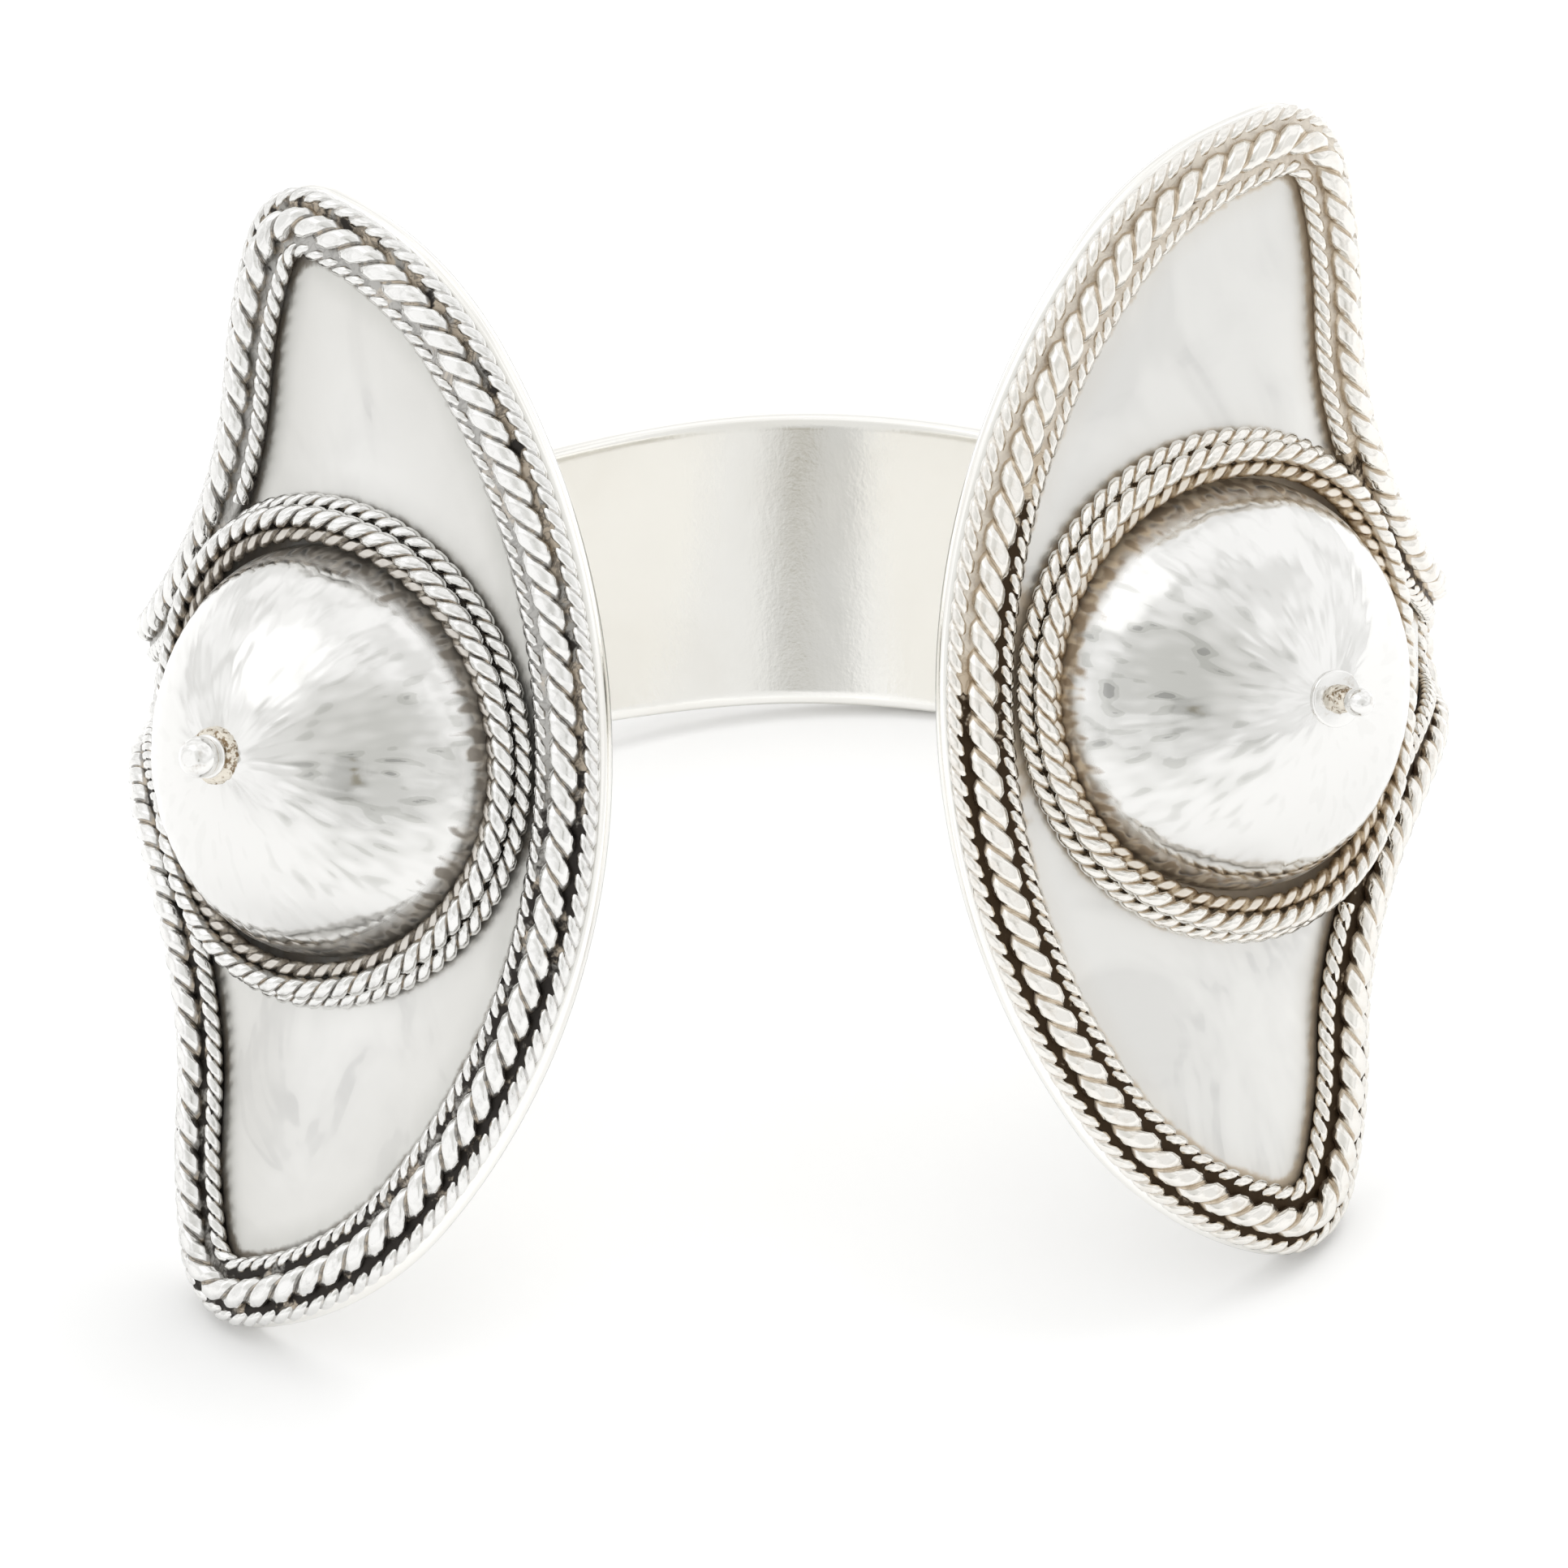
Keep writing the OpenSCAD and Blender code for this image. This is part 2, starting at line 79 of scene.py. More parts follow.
@dataclass(frozen=True)
class RingForm:
    """Sizes of the ring, and the curved face that every piece lies on."""

    sheet: float = 1.2 * MM
    # The hoop in plan: an arc for the back, a tighter side bend and a nearly flat shield.
    back_radius: float = 34.0 * MM
    back_turn: float = math.radians(54)
    side_radius: float = 18.6 * MM
    boss_azimuth: float = math.radians(31)
    front_radius: float = 87.0 * MM
    # How far the face leans back from upright.
    lean: float = math.radians(2.6)
    # The shield's outline: its reach beyond the boss, then its arcs from the gap to the neck.
    gap_reach: float = 15.75 * MM
    gap_radius: float = 34.7 * MM
    gap_turn: float = math.radians(37.8)
    crown_radius: float = 17.8 * MM
    crown_turn: float = math.radians(39)
    tip_radius: float = 4.4 * MM
    tip_turn: float = math.radians(84.1)
    heel_radius: float = 21.7 * MM
    flare_radius: float = 12.8 * MM
    # The band's half height, then the heights and slopes of the hoop's middle line.
    band_half: float = 7.7 * MM
    arch_rise: float = 1.5 * MM
    arch_reach: float = 22.0 * MM
    back_height: float = 1.05 * MM
    left_height: float = -3.15 * MM
    right_height: float = 2.03 * MM
    left_slope: float = 0.055
    back_slope: float = 0.02
    right_slope: float = 0.023
    left_twist: float = 0.035
    left_boss_up: float = 0.9 * MM
    band_steps: int = 16
    # The share of the sheet that each rounded edge takes, and the top of the tallest finial.
    edge_share: float = 0.42
    ball_tip: float = 10.8 * MM

    @cached_property
    def back_len(self) -> float:
        """Length of the outer face from the middle of the back to the side bend."""
        return self.back_radius * self.back_turn

    @cached_property
    def side_len(self) -> float:
        """Length of the outer face round the side bend."""
        return self.side_radius * (math.pi - self.back_turn - self.boss_azimuth)

    @cached_property
    def boss_at(self) -> float:
        """Length of the outer face from the middle of the back to a boss."""
        return self.back_len + self.side_len

    @cached_property
    def side_centre(self) -> Vector:
        """Centre of the side bend in plan."""
        across = (self.back_radius - self.side_radius) * math.sin(self.back_turn)
        return Vector((across, self.side_radius * math.cos(self.boss_azimuth)))

    @cached_property
    def back_centre(self) -> Vector:
        """Centre of the back's arc in plan."""
        step = (self.side_radius - self.back_radius) * math.cos(self.back_turn)
        return Vector((0, self.side_centre.y + step))

    @cached_property
    def front_centre(self) -> Vector:
        """Centre of the shield's arc in plan."""
        boss_x = self.side_centre.x + self.side_radius * math.sin(self.boss_azimuth)
        return Vector((boss_x - self.front_radius * math.sin(self.boss_azimuth),
                       self.front_radius * math.cos(self.boss_azimuth)))

    def azimuth(self, t: float) -> float:
        """Direction that the outer face looks in, at a length t from the back."""
        if t < self.back_len:
            return math.pi - t / self.back_radius
        if t < self.boss_at:
            return math.pi - self.back_turn - (t - self.back_len) / self.side_radius
        return self.boss_azimuth - (t - self.boss_at) / self.front_radius

    def plan(self, t: float) -> Vector:
        """Point of the outer face in plan, on the right half."""
        a = self.azimuth(t)
        centre, radius = self.front_centre, self.front_radius
        if t < self.back_len:
            centre, radius = self.back_centre, self.back_radius
        elif t < self.boss_at:
            centre, radius = self.side_centre, self.side_radius
        return centre + radius * Vector((math.sin(a), -math.cos(a)))

    def middle(self, side: Side, t: float) -> float:
        """Height of the hoop's middle line at a length t from the back."""
        left = side is Side.LEFT
        end_height = self.left_height if left else self.right_height
        end_slope = side.value * (self.left_slope if left else self.right_slope)
        bow = 0.0
        if t < self.arch_reach:
            bow = self.arch_rise * math.cos(math.pi / 2 * t / self.arch_reach) ** 2
        if t > self.boss_at:
            return bow + end_height + end_slope * (t - self.boss_at)
        k = t / self.boss_at
        start_slope = side.value * self.back_slope
        return (bow + (2 * k**3 - 3 * k**2 + 1) * self.back_height
                + (k**3 - 2 * k**2 + k) * start_slope * self.boss_at
                + (3 * k**2 - 2 * k**3) * end_height
                + (k**3 - k**2) * end_slope * self.boss_at)

    def standing(self, side: Side, t: float, v: float, n: float) -> Vector:
        """A point of the upright hoop.

        Args:
            side: The half that the point is on.
            t: Length along the outer face from the middle of the back.
            v: Height from the hoop's middle line.
            n: Height above the outer face.

        Returns:
            The point, before the ring is laid down.
        """
        share = min(1.0, max(0.0, (t - self.back_len) / self.side_len))
        twist = self.left_twist * share if side is Side.LEFT else 0.0
        along = t + twist * v
        a = self.azimuth(along)
        p = self.plan(along)
        out = n * math.cos(self.lean) - v * math.sin(self.lean)
        return Vector((side.value * (p.x + math.sin(a) * out), p.y - math.cos(a) * out,
                       v * math.cos(self.lean) + n * math.sin(self.lean)
                       + self.middle(side, t)))

    def facing(self, side: Side, t: float) -> Vector:
        """Outward direction of the face of the upright hoop."""
        a = self.azimuth(t)
        flat = math.cos(self.lean)
        return Vector((side.value * math.sin(a) * flat, -math.cos(a) * flat,
                       math.sin(self.lean)))

    def boss_up(self, side: Side) -> float:
        """Height of a boss above the middle line of its shield."""
        return self.left_boss_up if side is Side.LEFT else 0.0

    @cached_property
    def arcs(self) -> list[Arc]:
        """The arcs of a shield's upper outline, from the gap to the neck."""
        heel_turn = math.pi - self.gap_turn - self.crown_turn - self.tip_turn
        return [Arc(self.gap_radius, self.gap_turn, 8),
                Arc(self.crown_radius, self.crown_turn, 7),
                Arc(self.tip_radius, self.tip_turn, 8),
                Arc(self.heel_radius, heel_turn, 3),
                Arc(self.flare_radius, -math.pi / 2, 8)]

    @staticmethod
    def on_arc(start: Pair, heading: float, radius: float, turn: float) -> Pair:
        """Point on an arc that starts in a heading and has turned so far."""
        signed = -radius if turn < 0 else radius
        return (start[0] + signed * (math.sin(heading + turn) - math.sin(heading)),
                start[1] + signed * (math.cos(heading) - math.cos(heading + turn)))

    def outline(self, inset: float, fineness: int = 1) -> list[Pair]:
        """Upper half of a shield's outline.

        Args:
            inset: Distance in from the edge of the sheet.
            fineness: How many points stand for each step of the plain outline.

        Returns:
            Points (t, v) from the gap to the neck.
        """
        heading = math.pi / 2
        here = (self.boss_at + self.gap_reach - inset, 0.0)
        points = []
        for arc in self.arcs:
            radius = arc.radius + (inset if arc.turn < 0 else -inset)
            steps = arc.steps * fineness
            points += [self.on_arc(here, heading, radius, arc.turn * k / steps)
                       for k in range(steps)]
            here = self.on_arc(here, heading, radius, arc.turn)
            heading += arc.turn
        return points + [here]

    @cached_property
    def neck(self) -> Pair:
        """Length and half height where the shield runs out onto the band."""
        return self.outline(0)[-1]

    def band_edge(self, t: float) -> float:
        """Half height of the band between the neck and the middle of the back."""
        swell = (1 + math.cos(math.pi * (t / self.neck[0]) ** 1.5)) / 2
        return self.neck[1] + (self.band_half - self.neck[1]) * swell

    def half_edge(self, inset: float, fineness: int = 1) -> list[Pair]:
        """Upper edge of one half of the hoop, from the gap to the middle of the back."""
        steps = self.band_steps * fineness
        along = [self.neck[0] * (1 - k / steps) for k in range(1, steps + 1)]
        return self.outline(inset, fineness) + [(t, self.band_edge(t) - inset) for t in along]

    def ring_path(self, inset: float, fineness: int) -> list[Pair]:
        """Closed path of a border wire, its end rounded across the neck."""
        upper = self.outline(inset, fineness)
        tail = upper[-1]
        steps = 4 * fineness
        upper += [self.on_arc(tail, math.pi, tail[1], math.pi / 2 * k / steps)
                  for k in range(1, steps + 1)]
        return upper + [(t, -v) for t, v in reversed(upper[1:-1])]

    @cached_property
    def edge_points(self) -> list[Vector]:
        """Points along the rounded edge of the upright sheet."""
        rounding = self.edge_share * self.sheet
        shape = [(rounding, 0.0), (0.0, -rounding), (0.0, rounding - self.sheet),
                 (rounding, -self.sheet)]
        return [self.standing(side, t, sign * v, depth)
                for inset, depth in shape for side in Side
                for t, v in self.half_edge(inset) for sign in (1, -1)]

    def up_from(self, down: Vector) -> Vector:
        """Normal of the plane through the three points furthest down."""
        side_y = self.side_centre.y
        front = [p for p in self.edge_points if p.y < side_y]
        left = max((p for p in front if p.x < 0), key=down.dot)
        right = max((p for p in front if p.x > 0), key=down.dot)
        back = max((p for p in self.edge_points if p.y >= side_y), key=down.dot)
        return (right - left).cross(back - left).normalized()

    @cached_property
    def laid_down(self) -> Matrix:
        """Turn and shift that lay the upright ring on its three resting points."""
        # A first guess, which three rounds turn square to the three points.
        up = Vector((0, -0.5, 0.85))
        for _ in range(3):
            up = self.up_from(-up)
        roll = -math.atan2(up.x, up.z)
        tilt = math.atan2(up.y, math.hypot(up.x, up.z))
        turn = Matrix.Rotation(tilt, 4, "X") @ Matrix.Rotation(roll, 4, "Y")
        posed = [turn @ p for p in self.edge_points]
        tips = [turn @ (self.standing(side, self.boss_at, self.boss_up(side), 0)
                        + self.facing(side, self.boss_at) * self.ball_tip) for side in Side]
        xs = [p.x for p in posed + tips]
        ys = [p.y for p in posed + tips]
        shift = Vector((-(min(xs) + max(xs)) / 2, -(min(ys) + max(ys)) / 2,
                        -min(p.z for p in posed)))
        return Matrix.Translation(shift) @ turn

    def resting(self, side: Side, t: float, v: float, n: float) -> Vector:
        """A point of the hoop where the ring rests."""
        return self.laid_down @ self.standing(side, t, v, n)


class Bench:
    """The few modelling moves that every piece is made with."""

    seam: float = 0.002 * MM

    @staticmethod
    def clear_selection() -> None:
        """Leaves nothing selected, so that an operator acts on the new piece alone."""
        bpy.ops.object.select_all(action="DESELECT")

    @classmethod
    def pick(cls, piece: bpy.types.Object) -> None:
        """Selects one piece and makes it the active one."""
        cls.clear_selection()
        piece.select_set(True)
        bpy.context.view_layer.objects.active = piece

    @classmethod
    def shell(cls, name: str, columns: int, rows: int, place: Placer, inside_out: bool,
              marks: dict[str, Marker]) -> bpy.types.Object:
        """Shapes a grid into a closed shell.

        Args:
            name: Name of the piece.
            columns: Number of steps along the shell.
            rows: Number of steps round it.
            place: Gives the place of the grid's point at a column and a row.
            inside_out: True where the columns and rows run the other way about.
            marks: Gives the numbers to store at a column and a row, by their names.

        Returns:
            The smooth, closed piece.
        """
        cls.clear_selection()
        bpy.ops.mesh.primitive_grid_add(x_subdivisions=columns, y_subdivisions=rows, size=2)
        piece = bpy.context.object
        piece.name = name
        piece.data.name = name
        spots = [(round((v.co.x + 1) / 2 * columns), round((v.co.y + 1) / 2 * rows))
                 for v in piece.data.vertices]
        for vertex, (column, row) in zip(piece.data.vertices, spots):
            vertex.co = place(column, row)
        for word, mark in marks.items():
            cls.note(piece, word, [mark(column, row) for column, row in spots])
        bpy.ops.object.mode_set(mode="EDIT")
        bpy.ops.mesh.select_all(action="SELECT")
        bpy.ops.mesh.remove_doubles(threshold=cls.seam)
        if inside_out:
            bpy.ops.mesh.flip_normals()
        bpy.ops.object.mode_set(mode="OBJECT")
        bpy.ops.object.shade_smooth()
        return piece

    @classmethod
    def apply(cls, piece: bpy.types.Object) -> None:
        """Applies every modifier of a piece."""
        cls.pick(piece)
        for name in [m.name for m in piece.modifiers]:
            bpy.ops.object.modifier_apply(modifier=name)

    @classmethod
    def settle(cls, piece: bpy.types.Object, matrix: Matrix) -> None:
        """Moves a finished piece's place into its mesh, so that its object stays at the origin."""
        cls.pick(piece)
        piece.data.transform(matrix @ piece.matrix_basis)
        piece.matrix_basis = Matrix.Identity(4)

    @staticmethod
    def note(piece: bpy.types.Object, name: str, values: Iterable[float]) -> None:
        """Stores one number for each point of a piece, for its material to read."""
        layer = piece.data.attributes.new(name, "FLOAT", "POINT")
        layer.data.foreach_set("value", list(values))

    @staticmethod
    def finish(piece: bpy.types.Object, slot: str, material: bpy.types.Material,
               replaced: Sequence[str] = ()) -> None:
        """Dresses a piece and lets it ride on the ring in place of CAD nodes."""
        piece.data.materials.clear()
        piece.data.materials.append(material)
        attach(piece, "root")
        if replaced:
            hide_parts(*replaced)
        LOG.info("%s: %d faces", piece.name, len(piece.data.polygons))


class Link:
    """The output of a shader node, with arithmetic that adds Math nodes."""

    def __init__(self, graph: "Graph", socket: bpy.types.NodeSocket) -> None:
        """Wraps one output socket of a graph."""
        self.graph = graph
        self.socket = socket

    def _math(self, operation: str, *values: object) -> "Link":
        """Adds a Math node."""
        return self.graph.node("ShaderNodeMath", {"operation": operation},
                               dict(enumerate(values)))

    def __add__(self, other: object) -> "Link":
        """Sum."""
        return self._math("ADD", self, other)

    __radd__ = __add__

    def __sub__(self, other: object) -> "Link":
        """Difference."""
        return self._math("SUBTRACT", self, other)

    def __rsub__(self, other: object) -> "Link":
        """Difference, taken from a plain number."""
        return self._math("SUBTRACT", other, self)

    def __mul__(self, other: object) -> "Link":
        """Product."""
        return self._math("MULTIPLY", self, other)

    __rmul__ = __mul__

    def top(self, other: object) -> "Link":
        """The larger of two values."""
        return self._math("MAXIMUM", self, other)


@dataclass(frozen=True)
class Grain:
    """A soft noise from 0 to 1, drawn out along Z where height_share is below 1."""

    scale: float
    detail: float
    rough: float = 0.5
    warp: float = 0.0
    height_share: float = 1.0


@dataclass(frozen=True)
class Fade:
    """A smooth change between two values of a pattern, and the share that it counts for."""

    low: float
    high: float
    share: float = 1.0


@dataclass(frozen=True)
class Relief:
    """How strongly a pattern shows as bumps, and the height that its 1 stands for."""

    strength: float
    height: float


class Graph:
    """A node tree that is built from Python expressions."""

    def __init__(self, tree: bpy.types.NodeTree) -> None:
        """Empties a node tree and takes it over."""
        self.tree = tree
        tree.nodes.clear()

    def node(self, kind: str, settings: dict | None = None, inputs: dict | None = None,
             output: int | str = 0) -> Link:
        """Adds a node.

        Args:
            kind: The node's type.
            settings: Values of its properties.
            inputs: Numbers, colours or links of its sockets, by name or place.
            output: Name or place of the output that is wanted.

        Returns:
            That output.
        """
        made = self.tree.nodes.new(kind)
        for name, value in (settings or {}).items():
            setattr(made, name, value)
        for name, value in (inputs or {}).items():
            if isinstance(value, Link):
                self.tree.links.new(value.socket, made.inputs[name])
            else:
                made.inputs[name].default_value = value
        return Link(self, made.outputs[output] if made.outputs else None)

    def attribute(self, name: str) -> Link:
        """A number stored on the mesh."""
        return self.node("ShaderNodeAttribute", {"attribute_name": name}, output="Fac")

    def place(self) -> Link:
        """Object coordinates."""
        return self.node("ShaderNodeTexCoord", output="Object")

    def noise(self, place: Link, grain: Grain) -> Link:
        """Soft noise from 0 to 1."""
        if grain.height_share != 1.0:
            place = self.node("ShaderNodeVectorMath", {"operation": "MULTIPLY"},
                              {0: place, 1: (1.0, 1.0, grain.height_share)})
        return self.node("ShaderNodeTexNoise", {"normalize": True},
                         {"Vector": place, "Scale": grain.scale, "Detail": grain.detail,
                          "Roughness": grain.rough, "Distortion": grain.warp})

    def ramp(self, value: Link, fade: Fade, start: float, end: float) -> Link:
        """Smooth change from a start to an end over a fade."""
        return self.node("ShaderNodeMapRange", {"interpolation_type": "SMOOTHSTEP"},
                         {"Value": value, "From Min": fade.low, "From Max": fade.high,
                          "To Min": start, "To Max": end})

    def rise(self, value: Link, fade: Fade) -> Link:
        """Smooth rise from 0 to the fade's share."""
        return self.ramp(value, fade, 0.0, fade.share)

    def fall(self, value: Link, fade: Fade) -> Link:
        """Smooth fall from the fade's share to 0."""
        return self.ramp(value, fade, fade.share, 0.0)

    def crease(self, value: Link, fade: Fade) -> Link:
        """Thin lines where a value passes 0, for creases and veins."""
        return self.fall(value * value, fade)

    def blend(self, factor: object, one: object, two: object) -> Link:
        """Mix of two colours."""
        values = {0: factor, 6: self._colour(one), 7: self._colour(two)}
        return self.node("ShaderNodeMix", {"data_type": "RGBA"}, values, output=2)

    @staticmethod
    def _colour(value: object) -> object:
        """A colour with its fourth number."""
        return value if isinstance(value, Link) else (*value, 1)

    def bump(self, height: Link, relief: Relief, normal: Link | None = None) -> Link:
        """Normals of a bumpy surface, on top of others where they are given."""
        values: dict = {"Strength": relief.strength, "Distance": relief.height,
                        "Height": height}
        if normal is not None:
            values["Normal"] = normal
        return self.node("ShaderNodeBump", inputs=values, output="Normal")

    def metal(self, colour: Link, roughness: Link, normal: Link,
              metallic: object = 1.0) -> None:
        """Ends the graph in a metal shader."""
        shader = self.node("ShaderNodeBsdfPrincipled", inputs={
            "Base Color": colour, "Roughness": roughness,
            "Metallic": metallic, "Normal": normal})
        self.node("ShaderNodeOutputMaterial", inputs={"Surface": shader})


def shader_graph(name: str) -> tuple[bpy.types.Material, Graph]:
    """Makes an empty material and its graph."""
    material = bpy.data.materials.new(name)
    material.use_nodes = True
    return material, Graph(material.node_tree)


@dataclass(frozen=True)
class Tarnish:
    """Colours of the tarnish that old silver takes in its recesses, which also paint the shade
    there; the blackest is painted shade alone.
    """

    metal: Colour
    deep: Colour
    slit: Colour
    thin: Colour
    solder: Colour
    foot_dark: Colour
    foot_light: Colour


# The left side's colours are darker partly as painted shade, since that side lies more in shade.
COOL = Tarnish(metal=(0.83, 0.825, 0.81), deep=(0.040, 0.036, 0.033), slit=(0.11, 0.10, 0.09),
               thin=(0.33, 0.32, 0.30), solder=(0.47, 0.405, 0.325),
               foot_dark=(0.22, 0.19, 0.155), foot_light=(0.52, 0.475, 0.41))
WARM = Tarnish(metal=(0.84, 0.82, 0.78), deep=(0.045, 0.030, 0.018), slit=(0.41, 0.33, 0.24),
               thin=(0.58, 0.49, 0.38), solder=(0.66, 0.57, 0.45),
               foot_dark=(0.30, 0.215, 0.13), foot_light=(0.66, 0.545, 0.39))


@dataclass(frozen=True)
class SheetSilver:
    """Worn, hand-burnished sheet with tarnish and painted shade beside the wires, and painted
    shade that spreads in from the border.

    It reads four numbers that the sheet stores: inset and collar are distances in from the
    shield's edge and out from the boss's collar, outer is 1 on the outer face, and side is
    1 on the right half.
    """

    base: Colour = (0.80, 0.795, 0.775)
    inner_base: Colour = (0.93, 0.92, 0.89)
    inner_tint: Colour = (0.82, 0.79, 0.73)
    smear_tint: Colour = (0.64, 0.635, 0.62)
    vein_tint: Colour = (0.42, 0.42, 0.42)
    # Colour of the painted shade that spreads in from the border.
    dull_tint: Colour = (0.66, 0.65, 0.62)
    # Colours of the painted shade beside the wires and round the collar.
    cool_haze: Colour = (0.50, 0.50, 0.47)
    warm_haze: Colour = (0.62, 0.57, 0.49)
    polish: float = 0.35
    inner_shine: float = 0.21
    # Patterns of the metal, and where they show.
    cloud: Grain = Grain(scale=130, detail=4, rough=0.55, warp=0.6)
    drift: Grain = Grain(scale=85, detail=3, rough=0.55, warp=2.2, height_share=0.6)
    smear: Grain = Grain(scale=420, detail=5, rough=0.6, warp=0.4, height_share=0.4)
    rag: Grain = Grain(scale=1100, detail=4, rough=0.6)
    scratch: Grain = Grain(scale=2600, detail=2, height_share=0.08)
    grit: Grain = Grain(scale=5200, detail=2, rough=0.6)
    cloud_smear: Fade = Fade(low=0.42, high=0.72, share=0.3)
    drift_smear: Fade = Fade(low=0.44, high=0.66, share=0.45)
    inner_cloud: Fade = Fade(low=0.4, high=0.8, share=0.3)
    vein_cloud: Fade = Fade(low=0.40, high=0.64, share=0.28)
    vein_level: float = 0.6
    vein: Fade = Fade(low=0.0, high=0.0016)
    mottle: Fade = Fade(low=0.4, high=0.62)
    # Painted shade and tarnish: lengths in from the shield's edge, out from the collar, or both in
    # a wedge.
    bare_rim: Fade = Fade(low=0.05 * MM, high=0.3 * MM)
    under_wires: Fade = Fade(low=3.5 * MM, high=3.85 * MM)
    under_collar: Fade = Fade(low=-0.3 * MM, high=0.1 * MM)
    wedge: Fade = Fade(low=3.6 * MM, high=4.3 * MM)
    warm_wedge: float = 0.2 * MM
    border_smoke: Fade = Fade(low=3.5 * MM, high=5.0 * MM)
    collar_smoke: Fade = Fade(low=0.0, high=1.5 * MM, share=0.3)
    border_dull: Fade = Fade(low=3.5 * MM, high=10.5 * MM)
    rag_depth: float = 0.7 * MM
    smoke_depth: float = 1.5 * MM
    waves: Relief = Relief(strength=0.6, height=0.05 * MM)
    wear: Relief = Relief(strength=0.3, height=0.014 * MM)
    grain: Relief = Relief(strength=0.35, height=0.009 * MM)

    def clean(self, graph: Graph, place: Link, cloud: Link, outer: Link) -> Link:
        """Colour away from the wires: smeared and veined outside, creamy inside."""
        drift = graph.noise(place, self.drift)
        soft = graph.rise(cloud, self.cloud_smear) + graph.rise(drift, self.drift_smear)
        smeared = graph.blend(soft, self.base, self.smear_tint)
        vein = graph.crease(drift - self.vein_level, self.vein)
        face = graph.blend(vein * graph.rise(cloud, self.vein_cloud), smeared, self.vein_tint)
        inner = graph.blend(graph.rise(cloud, self.inner_cloud), self.inner_base,
                            self.inner_tint)
        return graph.blend(outer, inner, face)

    def material(self) -> bpy.types.Material:
        """Builds the material of the hoop."""
        material, graph = shader_graph("sheet silver")
        place = graph.place()
        inset = graph.attribute("inset")
        ring = graph.attribute("collar")
        outer = graph.attribute("outer")
        side = graph.attribute("side")
        cloud = graph.noise(place, self.cloud)
        smear = graph.noise(place, self.smear)
        ragged = (graph.noise(place, self.rag) - 0.5) * self.rag_depth
        smoky = (cloud - 0.5) * self.smoke_depth
        # Tarnish and solder under and beside the wires and in the wedge between border and collar,
        # whose colours also paint the shade there.
        border = graph.fall(inset + ragged, self.under_wires)
        inside = graph.fall(ring + ragged, self.under_collar)
        wedge = graph.fall(inset + ring + ragged * 2 - side * self.warm_wedge, self.wedge)
        recess = border.top(inside).top(wedge) * outer * graph.rise(inset, self.bare_rim)
        # Painted shade: a grey band beside the border wires and round the collar, weaker on the
        # right.
        smoke = graph.fall(inset + smoky, self.border_smoke).top(
            graph.fall(ring + smoky, self.collar_smoke)) * outer
        tone = graph.blend(side, COOL.foot_dark, WARM.thin)
        stain = graph.blend(side, COOL.thin, WARM.solder)
        mottled = graph.blend(graph.rise(smear, self.mottle), tone, stain)
        haze = graph.blend(side, self.cool_haze, self.warm_haze)
        # Painted shade that spreads in from the border, strongest on the left half.
        dull = graph.fall(inset + smoky, self.border_dull) * outer * (0.6 - side * 0.5)
        dulled = graph.blend(dull, self.clean(graph, place, cloud, outer), self.dull_tint)
        greyed = graph.blend(smoke * (0.15 + smear * 0.5) * (1 - side * 0.5), dulled, haze)
        colour = graph.blend(recess * 0.95, greyed, mottled)
        roughness = (self.polish - (1 - outer) * self.inner_shine
                     + (smear - 0.5) * 0.2 + recess * 0.25)
        waves = graph.bump(cloud * (0.15 + outer * 0.85), self.waves)
        worn = graph.bump(graph.noise(place, self.scratch) + smear, self.wear, waves)
        graph.metal(colour, roughness,
                    graph.bump(graph.noise(place, self.grit), self.grain, worn))
        return material


